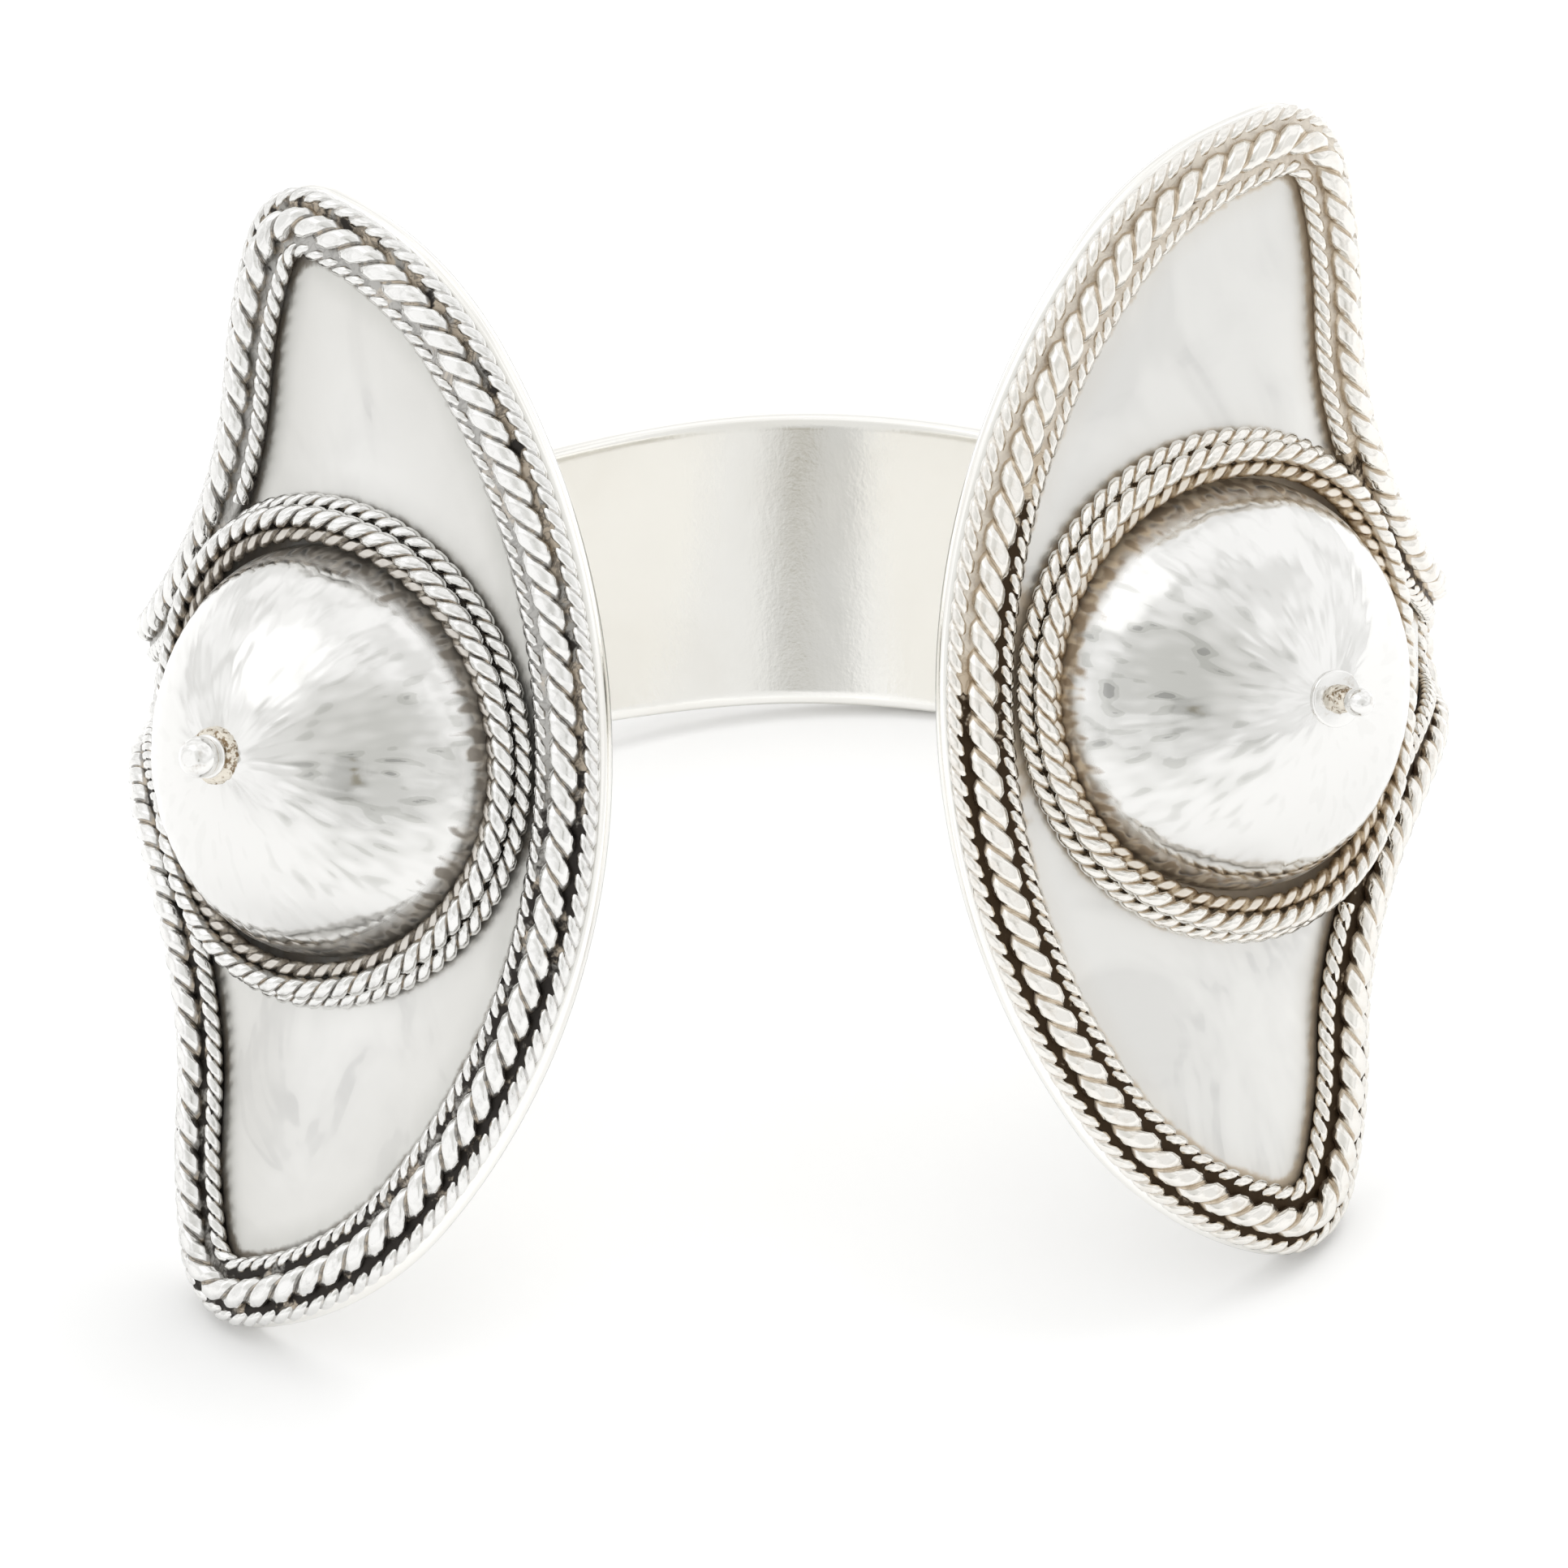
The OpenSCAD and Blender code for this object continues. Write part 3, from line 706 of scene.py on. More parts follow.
@dataclass(frozen=True)
class DomeSilver:
    """Hammered and polished dome with a dark, ragged foot and a painted dim reflection on its side
    towards the gap.

    It reads what the dome stores: its height above the shield, the hammer strokes and
    streaks from -1 to 1, and shade, which is 1 in the middle of the painted dim reflection.
    """

    base: Colour = (0.80, 0.795, 0.78)
    satin_tint: Colour = (0.56, 0.56, 0.535)
    gouge_tint: Colour = (0.22, 0.22, 0.215)
    polish: float = 0.12
    grain: Grain = Grain(scale=1500, detail=4, rough=0.6)
    cloud: Grain = Grain(scale=210, detail=3, warp=0.8)
    foot: Fade = Fade(low=1.35 * MM, high=2.0 * MM)
    blurred: Fade = Fade(low=2.0 * MM, high=2.5 * MM)
    streaked: Fade = Fade(low=-0.22, high=0.22)
    patina: Fade = Fade(low=0.35, high=0.85)
    nicks: Fade = Fade(low=0.20, high=0.32)
    gouges: Fade = Fade(low=0.50, high=0.58, share=0.5)
    gouged: Fade = Fade(low=0.6, high=1.0)
    bumps: Relief = Relief(strength=0.3, height=0.010 * MM)

    def material(self, tarnish: Tarnish) -> bpy.types.Material:
        """Builds the material of one dome."""
        material, graph = shader_graph("dome silver")
        place = graph.place()
        height = graph.attribute("height")
        stroke = graph.attribute("stroke")
        streak = graph.attribute("streak")
        grain = graph.noise(place, self.grain) - 0.5
        cloud = graph.noise(place, self.cloud) - 0.5
        ragged = height + (stroke * 0.9 + streak * 0.8 + grain * 0.4) * MM
        foot = graph.fall(ragged, self.foot)
        stain = graph.blend(graph.rise(streak + grain * 0.5, self.streaked),
                            tarnish.foot_dark, tarnish.foot_light)
        # Painted dim reflection: the colour greys towards the middle of the side towards the gap,
        # where the nicks also darken more.
        shade = graph.attribute("shade") + stroke * 0.35 + cloud * 0.5
        patina = graph.rise(shade, self.patina)
        marked = stroke + grain * 0.3
        dull = patina * 0.58 + graph.rise(marked, self.nicks) * (0.10 + patina * 0.30)
        satin = graph.blend(dull, self.base, self.satin_tint)
        gouges = graph.rise(marked, self.gouges) * graph.rise(shade, self.gouged)
        clean = graph.blend(gouges, satin, self.gouge_tint)
        colour = graph.blend(foot * 0.9, clean, stain)
        roughness = self.polish + cloud * 0.12 + graph.fall(height, self.blurred) * 0.22
        graph.metal(colour, roughness, graph.bump(grain, self.bumps), 1 - foot * 0.65)
        return material


@dataclass(frozen=True)
class WireSilver:
    """Twisted wire, bright where it was rubbed, and darker between and under its strands with
    tarnish and painted shade.

    It reads what the wire stores, in radii: depth is a point's distance from the wire's
    middle, and top is its height on the side away from the bed.
    """

    polish: float = 0.16
    worn: float = 0.0
    browned: bool = False
    grain: Grain = Grain(scale=1500, detail=4, rough=0.6)
    patch: Grain = Grain(scale=300, detail=2)
    pool: Grain = Grain(scale=900, detail=2, warp=1.5)
    slit: Fade = Fade(low=0.56, high=0.62)
    lobe: Fade = Fade(low=0.65, high=0.73)
    top: Fade = Fade(low=-0.32, high=-0.10)
    crease: Fade = Fade(low=0.0002, high=0.0015, share=0.45)
    speckle: Fade = Fade(low=0.42, high=0.6)
    cloudy: Fade = Fade(low=0.48, high=0.7, share=0.22)
    bumps: Relief = Relief(strength=0.4, height=0.025 * MM)

    def material(self, tarnish: Tarnish) -> bpy.types.Material:
        """Builds the material of one side's wires."""
        material, graph = shader_graph("wire silver")
        place = graph.place()
        grain = graph.noise(place, self.grain)
        uneven = (grain - 0.5) * 0.16 + (graph.noise(place, self.patch) - 0.5) * 0.12
        depth = graph.attribute("depth") + uneven
        top = graph.attribute("top") + uneven * 2
        # The bed side and the slits between strands take tarnish colours that also paint the shade
        # there.
        rubbed = graph.rise(depth, self.lobe) * graph.rise(top, self.top)
        dark, light, bright = tarnish.thin, tarnish.solder, tarnish.metal
        if self.browned:
            dark, light = tarnish.foot_dark, tarnish.foot_light
            bright = graph.blend(0.5, tarnish.metal, tarnish.solder)
        stain = graph.blend(graph.rise(grain, self.speckle), dark, light)
        crease = graph.crease(graph.noise(place, self.pool) - 0.5, self.crease)
        lined = graph.blend(crease, stain, tarnish.slit)
        slit = graph.blend(self.worn, tarnish.slit, tarnish.metal)
        low = graph.blend(graph.rise(depth, self.slit), slit,
                          graph.blend(self.worn, lined, tarnish.metal))
        cloudy = graph.blend(graph.rise(grain, self.cloudy), bright, tarnish.thin)
        # Painted shade: a dark line round the edge of each bright top.
        outline = rubbed * (1 - rubbed) * 1.8 * (1 - self.worn)
        colour = graph.blend(outline, graph.blend(rubbed, low, cloudy), tarnish.slit)
        roughness = self.polish + (grain - 0.5) * 0.16 + (1 - rubbed) * 0.2
        graph.metal(colour, roughness, graph.bump(grain, self.bumps))
        return material


class Look(Enum):
    """The ways that the ring's wires have worn."""

    FINE = WireSilver()
    COARSE = WireSilver(top=Fade(low=0.0, high=0.22))
    WORN = WireSilver(worn=0.6)
    BROWN = WireSilver(polish=0.3, lobe=Fade(low=0.82, high=0.94), top=Fade(low=0.5, high=0.8),
                       browned=True)


@dataclass(frozen=True)
class BedSilver:
    """Rough solder and old tarnish that fill the valleys between the wires, with painted shade
    that blackens them.

    It reads what the bed stores: the valley's painted shade, which blackens it as it rises and
    pales it a little below zero, and inside, which is 1 between the coarse wire and the inner one.
    """

    polish: float = 0.45
    patch: Grain = Grain(scale=620, detail=3, rough=0.6, warp=0.5)
    grain: Grain = Grain(scale=2600, detail=4, rough=0.65)
    pool: Grain = Grain(scale=430, detail=2, warp=0.8)
    wave: Grain = Grain(scale=1300, detail=3, warp=1.2)
    sooty: Fade = Fade(low=0.46, high=0.58)
    filled: Fade = Fade(low=0.40, high=0.50)
    crease: Fade = Fade(low=0.0003, high=0.0025, share=0.6)
    pale: Fade = Fade(low=-0.20, high=-0.10, share=0.45)
    bumps: Relief = Relief(strength=0.6, height=0.05 * MM)

    def material(self, tarnish: Tarnish) -> bpy.types.Material:
        """Builds the material of one side's bed of solder."""
        material, graph = shader_graph("solder bed")
        place = graph.place()
        soot = graph.attribute("soot")
        grain = graph.noise(place, self.grain) - 0.5
        pool = graph.noise(place, self.pool) - graph.attribute("inside") * 0.12
        fill = graph.blend(graph.rise(pool + grain * 0.3, self.filled), tarnish.thin,
                           tarnish.solder)
        crease = graph.crease(graph.noise(place, self.wave) - 0.5, self.crease)
        lined = graph.blend(crease, fill, tarnish.slit)
        cleaned = graph.blend(graph.fall(soot, self.pale), lined, tarnish.metal)
        # Painted shade: the valleys turn black as their stored shade rises.
        sooty = graph.rise(graph.noise(place, self.patch) + grain * 0.3 + soot, self.sooty)
        colour = graph.blend(sooty, cleaned, tarnish.deep)
        graph.metal(colour, self.polish + grain * 0.3, graph.bump(grain, self.bumps))
        return material


@dataclass(frozen=True)
class SolderSilver:
    """Grainy solder, browned by heat."""

    base: Colour = (0.80, 0.75, 0.66)
    brown: Colour = (0.24, 0.17, 0.10)
    polish: float = 0.36
    grain: Grain = Grain(scale=4200, detail=5, rough=0.7)
    patch: Grain = Grain(scale=1100, detail=2)
    clean: Fade = Fade(low=0.38, high=0.50)
    bumps: Relief = Relief(strength=0.7, height=0.09 * MM)

    def material(self) -> bpy.types.Material:
        """Builds the material of the beads under the finials."""
        material, graph = shader_graph("browned solder")
        place = graph.place()
        grain = graph.noise(place, self.grain)
        patch = graph.noise(place, self.patch) - 0.5
        colour = graph.blend(graph.rise(grain + patch * 0.5, self.clean), self.brown, self.base)
        roughness = self.polish + (grain - 0.5) * 0.3
        graph.metal(colour, roughness, graph.bump(grain, self.bumps))
        return material


@dataclass(frozen=True)
class KnobSilver:
    """Polished little knobs with a few dull spots."""

    base: Colour = (0.84, 0.835, 0.82)
    dull_tint: Colour = (0.45, 0.40, 0.33)
    polish: float = 0.14
    grain: Grain = Grain(scale=1700, detail=4, rough=0.6)
    spots: Fade = Fade(low=0.56, high=0.72)
    bumps: Relief = Relief(strength=0.35, height=0.03 * MM)

    def material(self) -> bpy.types.Material:
        """Builds the material of the finials."""
        material, graph = shader_graph("knob silver")
        grain = graph.noise(graph.place(), self.grain)
        dull = graph.rise(grain, self.spots)
        colour = graph.blend(dull * 0.5, self.base, self.dull_tint)
        graph.metal(colour, self.polish + dull * 0.25, graph.bump(grain, self.bumps))
        return material


@dataclass
class HoopSheet:
    """The band and both shields, one sheet with a rounded edge."""

    form: RingForm
    bosses: dict[Side, "Boss"]
    fineness: int = 4
    face_rows: int = 40
    edge_rows: int = 6
    waviness: float = 0.10 * MM
    wave_length: float = 9.0 * MM
    side_shift: float = 0.05
    inner_calm: float = 0.8
    plain_band: float = 12.0 * MM

    def rounding(self, row: int) -> Pair:
        """Inset and depth of a point on the rounded edge.

        Args:
            row: Row from 0 at the outer face to edge_rows at the inner face.

        Returns:
            The distance in from the edge, and the depth below the outer face.
        """
        r = self.form.edge_share * self.form.sheet
        half = self.edge_rows // 2
        if row <= half:
            q = math.pi / 2 * row / half
            return r - r * math.sin(q), r - r * math.cos(q)
        q = math.pi / 2 * (row - half) / half
        return r - r * math.cos(q), self.form.sheet - r + r * math.sin(q)

    def section(self) -> list[tuple[int, float]]:
        """Rows round the sheet: up its outer face, over the edge, and down the inner face.

        Returns:
            For each row the line of the rounded edge that it follows, and its share of that
            line's height, from -1 at the lower edge to 1 at the upper one.
        """
        across = [2 * k / self.face_rows - 1 for k in range(self.face_rows + 1)]
        edge = range(1, self.edge_rows)
        return ([(0, share) for share in across] + [(k, 1.0) for k in edge]
                + [(self.edge_rows, -share) for share in across]
                + [(k, -1.0) for k in reversed(edge)])

    def build(self) -> bpy.types.Object:
        """Shapes the sheet and stores what its material reads.

        Returns:
            The sheet, dressed and in place of the CAD hoop.
        """
        form = self.form
        edges = [(form.half_edge(inset, self.fineness), depth)
                 for inset, depth in map(self.rounding, range(self.edge_rows + 1))]
        count = len(edges[0][0])
        stations = [(Side.RIGHT, i) for i in range(count)]
        stations += [(Side.LEFT, i) for i in reversed(range(count - 1))]
        section = self.section()
        rows = len(section)

        def place(column: int, row: int) -> Vector:
            """Place of one point of the sheet."""
            side, i = stations[column]
            edge, share = section[row % rows]
            line, depth = edges[edge]
            t, v = line[i][0], line[i][1] * share
            where = Vector((t, v, side.value * self.side_shift))
            ripple = noise.noise(where / self.wave_length) * self.waviness
            calm = 1 - self.inner_calm * depth / form.sheet
            return form.resting(side, t, v, calm * ripple - depth)

        border = form.ring_path(0, 2)

        def spot(column: int, row: int) -> Pair | None:
            """Length and height of a point of the outer face, or nothing off that face."""
            if row % rows > self.face_rows:
                return None
            t, v = edges[0][0][stations[column][1]]
            return t, v * section[row % rows][1]

        def from_border(column: int, row: int) -> float:
            """Distance of a point from the edge of its shield, or plain off the shield."""
            here = spot(column, row)
            if here is None:
                return self.plain_band
            t, v = here
            if t < form.neck[0] and math.hypot(t - form.neck[0], v) > form.neck[1]:
                return self.plain_band
            return min(math.hypot(t - a, v - b) for a, b in border)

        def from_collar(column: int, row: int) -> float:
            """Distance of a point from the collar of its boss."""
            here = spot(column, row)
            boss = self.bosses[stations[column][0]]
            return self.plain_band if here is None else boss.room(*here)

        marks = {
            "outer": lambda column, row: float(row % rows <= self.face_rows),
            "side": lambda column, row: float(stations[column][0] is Side.RIGHT),
            "inset": from_border,
            "collar": from_collar}
        sheet = Bench.shell("silver_sheet", len(stations) - 1, rows, place, True, marks)
        Bench.finish(sheet, "sheet", SheetSilver().material(), ["hoop"])
        return sheet


@dataclass(frozen=True)
class StrokeZone:
    """How many hammer strokes stand round a dome at a share of the way up."""

    rise: float
    around: float


@dataclass
class Boss:
    """A hammered dome in its collar of twisted wires."""

    form: RingForm
    side: Side
    dome_radius: float = 9.9 * MM
    dome_height: float = 7.85 * MM
    dome_sheet: float = 0.8 * MM
    dome_power: float = 1.16
    # Widths of the ovals towards the gap and towards the band, as shares of their half heights.
    gap_share: float = 0.98
    dome_gap_share: float = 1.05
    foot_gap_share: float = 1.01
    band_share: float = 0.88
    collar_radius: float = 12.4 * MM
    base_wire: float = 1.0 * MM
    base_lobe: float = 0.92 * MM
    top_wire: float = 1.1 * MM
    top_lobe: float = 1.05 * MM
    foot_wire: float = 0.82 * MM
    foot_lobe: float = 1.0 * MM
    foot_up: float = 0.85 * MM
    top_lean: float = math.radians(30)
    # How far the bed lies in and down from a wire, in widths of the base wire.
    bed_lean: float = 0.7
    clearance: float = 0.08 * MM
    # How finely the wires' paths and the dome's shell are divided.
    path_steps: int = 360
    columns: int = 400
    rings: int = 96
    inner_rings: int = 12
    # Hammering: its heights and sizes, and how fast it sets in from the foot and the top.
    lumps: float = 0.10 * MM
    lump_size: float = 9.5 * MM
    facets: float = 0.040 * MM
    facet_size: float = 1.9 * MM
    facets_from_foot: float = 8.0
    facets_from_top: float = 5.0
    strokes: float = 0.026 * MM
    strokes_up: float = 11.0
    strokes_left_on_top: float = 0.25
    strokes_from_top: float = 1.8
    # Shifts in the noise that give each side and each zone strokes of its own.
    side_shift: float = 7.3
    zone_shift: float = 3.1
    zone_reach: float = 0.30
    zones: tuple[StrokeZone, ...] = (
        StrokeZone(rise=0.0, around=25.0), StrokeZone(rise=0.36, around=18.0),
        StrokeZone(rise=0.66, around=11.0), StrokeZone(rise=0.90, around=5.0))
    # Streaks of the dark foot, and the painted dim reflection on the side of the gap.
    streaks_around: float = 26.0
    streaks_up: float = 15.0
    patina_up: float = 0.42
    patina_wide: float = 1.15
    patina_tall: float = 0.62

    def oval(self, angle: float, radius: float, gap_share: float) -> Pair:
        """A point of an oval round the boss, measured from the boss's middle."""
        share = gap_share if math.cos(angle) > 0 else self.band_share
        return share * radius * math.cos(angle), radius * math.sin(angle)

    def on_dome(self, angle: float, radius: float, n: float) -> Vector:
        """A point of the upright dome, which follows the face at its foot and not at its top.

        Args:
            angle: Direction round the dome.
            radius: Distance from the dome's axis, before the oval is drawn in.
            n: Height above the face.

        Returns:
            The point, before the ring is laid down.
        """
        form = self.form
        x, y = self.oval(angle, radius, self.dome_gap_share)
        up = form.boss_up(self.side)
        low = form.standing(self.side, form.boss_at + x, up + y, n)
        seat = form.standing(self.side, form.boss_at, up, 0)
        a = form.azimuth(form.boss_at)
        s = self.side.value
        level = Vector((-s * math.cos(a), -math.sin(a), 0))
        upward = Vector((-s * math.sin(a) * math.sin(form.lean),
                         math.cos(a) * math.sin(form.lean), math.cos(form.lean)))
        high = seat + x * level + y * upward + n * form.facing(self.side, form.boss_at)
        mix = (1 - n / self.dome_height) ** 2
        return mix * low + (1 - mix) * high

    def room(self, t: float, v: float) -> float:
        """Distance of a spot of the shield from the outside of the collar."""
        share = self.gap_share if t > self.form.boss_at else self.band_share
        across = (t - self.form.boss_at) / share
        return math.hypot(across, v - self.form.boss_up(self.side)) - self.collar_radius

    def stroke(self, angle: float, rise: float) -> float:
        """Long hammer strokes that run up the dome, from -1 to 1.

        Args:
            angle: Direction round the dome.
            rise: Share of the way from the foot to the top.

        Returns:
            Height of the strokes there, blended from zones of ever fewer strokes.
        """
        total, weights = 0.0, 0.0
        for zone in self.zones:
            weight = max(0.0, 1 - abs(rise - zone.rise) / self.zone_reach) ** 2
            k = zone.around
            spot = Vector((k * math.cos(angle), k * math.sin(angle),
                           self.strokes_up * rise + self.side_shift * self.side.value
                           + self.zone_shift * k))
            total += weight * noise.noise(spot)
            weights += weight * weight
        return total / math.sqrt(weights)

    def hammering(self, angle: float, rise: float) -> float:
        """Distance that the hammer has moved the dome's surface in or out.

        Args:
            angle: Direction round the dome.
            rise: Share of the way from the foot to the top.

        Returns:
            The distance, outwards above zero.
        """
        reach = math.cos(math.pi / 2 * rise) * self.dome_radius
        spot = Vector((reach * math.cos(angle), reach * math.sin(angle),
                       math.sin(math.pi / 2 * rise) * self.dome_height))
        shift = Vector((0, 0, self.side_shift * self.side.value))
        lump = noise.noise(spot / self.lump_size + shift)
        facet = noise.noise(spot / self.facet_size + shift)
        fade = min(1.0, self.facets_from_top * (1 - rise))
        top_fade = min(1.0, self.strokes_left_on_top + self.strokes_from_top * (1 - rise))
        return (lump * self.lumps + facet * self.facets) * fade + (
            self.stroke(angle, rise) * self.strokes * top_fade)

    def angle_at(self, column: int) -> float:
        """Direction round the dome at a column of its shell."""
        return 2 * math.pi * (column % self.columns) / self.columns

    def build_dome(self, material: bpy.types.Material) -> bpy.types.Object:
        """Shapes the dome's shell and stores what its material reads.

        Args:
            material: The dome's finish.

        Returns:
            The dome, dressed and in place of the CAD one.
        """
        rows = self.rings + self.inner_rings + 1

        def place(column: int, row: int) -> Vector:
            """Place of one point of the shell."""
            angle = self.angle_at(column)
            row %= rows
            outer = row <= self.rings
            q = row / self.rings if outer else (rows - row) / self.inner_rings
            inset = 0.0 if outer else self.dome_sheet
            c = max(0.0, math.cos(math.pi / 2 * q)) ** self.dome_power
            s = math.sin(math.pi / 2 * q) ** self.dome_power
            tall = self.dome_height - self.clearance - inset
            share = min(1.0, self.facets_from_foot * q) if outer else 0.0
            moved = self.hammering(angle, q) * share
            radius = (self.dome_radius - inset) * c + moved * c
            n = self.clearance + tall * s + moved * s
            return self.form.laid_down @ self.on_dome(angle, radius, n)

        def rise(row: int) -> float:
            """Share of the way up at a row of the outside, and full height inside."""
            return min(row % rows, self.rings) / self.rings

        def height(column: int, row: int) -> float:
            """Height of a row above the shield."""
            return self.dome_height * math.sin(math.pi / 2 * rise(row)) ** self.dome_power

        def stroke(column: int, row: int) -> float:
            """Height of the hammer strokes at a point."""
            return self.stroke(self.angle_at(column), rise(row))

        def streak(column: int, row: int) -> float:
            """Fine streaks that run up the dome's foot, from -1 to 1."""
            angle, around = self.angle_at(column), self.streaks_around
            return noise.noise(Vector((around * math.cos(angle), around * math.sin(angle),
                                       self.streaks_up * rise(row) + self.side.value)))

        def shade(column: int, row: int) -> float:
            """One in the middle of the painted dim reflection on the face towards the gap, falling
            off round it.
            """
            turned = (self.angle_at(column) + math.pi) % (2 * math.pi) - math.pi
            across = turned * math.cos(math.pi / 2 * rise(row))
            up = rise(row) - self.patina_up
            return 1 - math.hypot(across / self.patina_wide, up / self.patina_tall)

        dome = Bench.shell(f"hammered_dome_{self.side.word}", self.columns, rows, place,
                           self.side is Side.RIGHT,
                           {"height": height, "stroke": stroke, "streak": streak,
                            "shade": shade})
        Bench.finish(dome, "dome", material, [f"dome_{self.side.word}"])
        return dome

    def collar_path(self, radius: float, n: float, gap_share: float) -> list[Vector]:
        """Closed path of a collar's wire where the ring rests.

        Args:
            radius: The oval's half height.
            n: Height of the path above the face.
            gap_share: Width of the oval towards the gap, as a share of its half height.

        Returns:
            The path's points.
        """
        form = self.form
        points = []
        for k in range(self.path_steps):
            x, y = self.oval(2 * math.pi * k / self.path_steps, radius, gap_share)
            points.append(form.resting(self.side, form.boss_at + x,
                                       form.boss_up(self.side) + y, n))
        return points

    def wires(self) -> list["TwistedWire"]:
        """The three wires of the collar."""
        base_r = self.collar_radius - self.base_wire / 2
        base_n = self.clearance + self.base_wire / 2
        stack = (self.base_wire + self.top_wire) / 2 + self.clearance
        top_r = base_r - stack * math.sin(self.top_lean)
        top_n = base_n + stack * math.cos(self.top_lean)
        foot_r = self.dome_radius + self.foot_wire / 2 + 2 * self.clearance
        foot_n = self.foot_up + self.foot_wire / 2
        lean = self.bed_lean * self.base_wire
        side, share = self.side.word, self.gap_share

        def wire(word: str, thickness: float, lobe: float, r: float, n: float,
                 inward: float = lean, share: float = share,
                 look: Look = Look.FINE) -> TwistedWire:
            """One wire of the collar, with its bed further in and down."""
            return TwistedWire(f"{word}_twist_{side}", thickness, lobe,
                               self.collar_path(r, n, share),
                               self.collar_path(r - inward, n - lean, share),
                               [f"collar_{word}_{side}"], look=look)

        return [wire("base", self.base_wire, self.base_lobe, base_r, base_n),
                wire("top", self.top_wire, self.top_lobe, top_r, top_n),
                wire("foot", self.foot_wire, self.foot_lobe, foot_r, foot_n, inward=0.0,
                     share=self.foot_gap_share, look=Look.BROWN)]


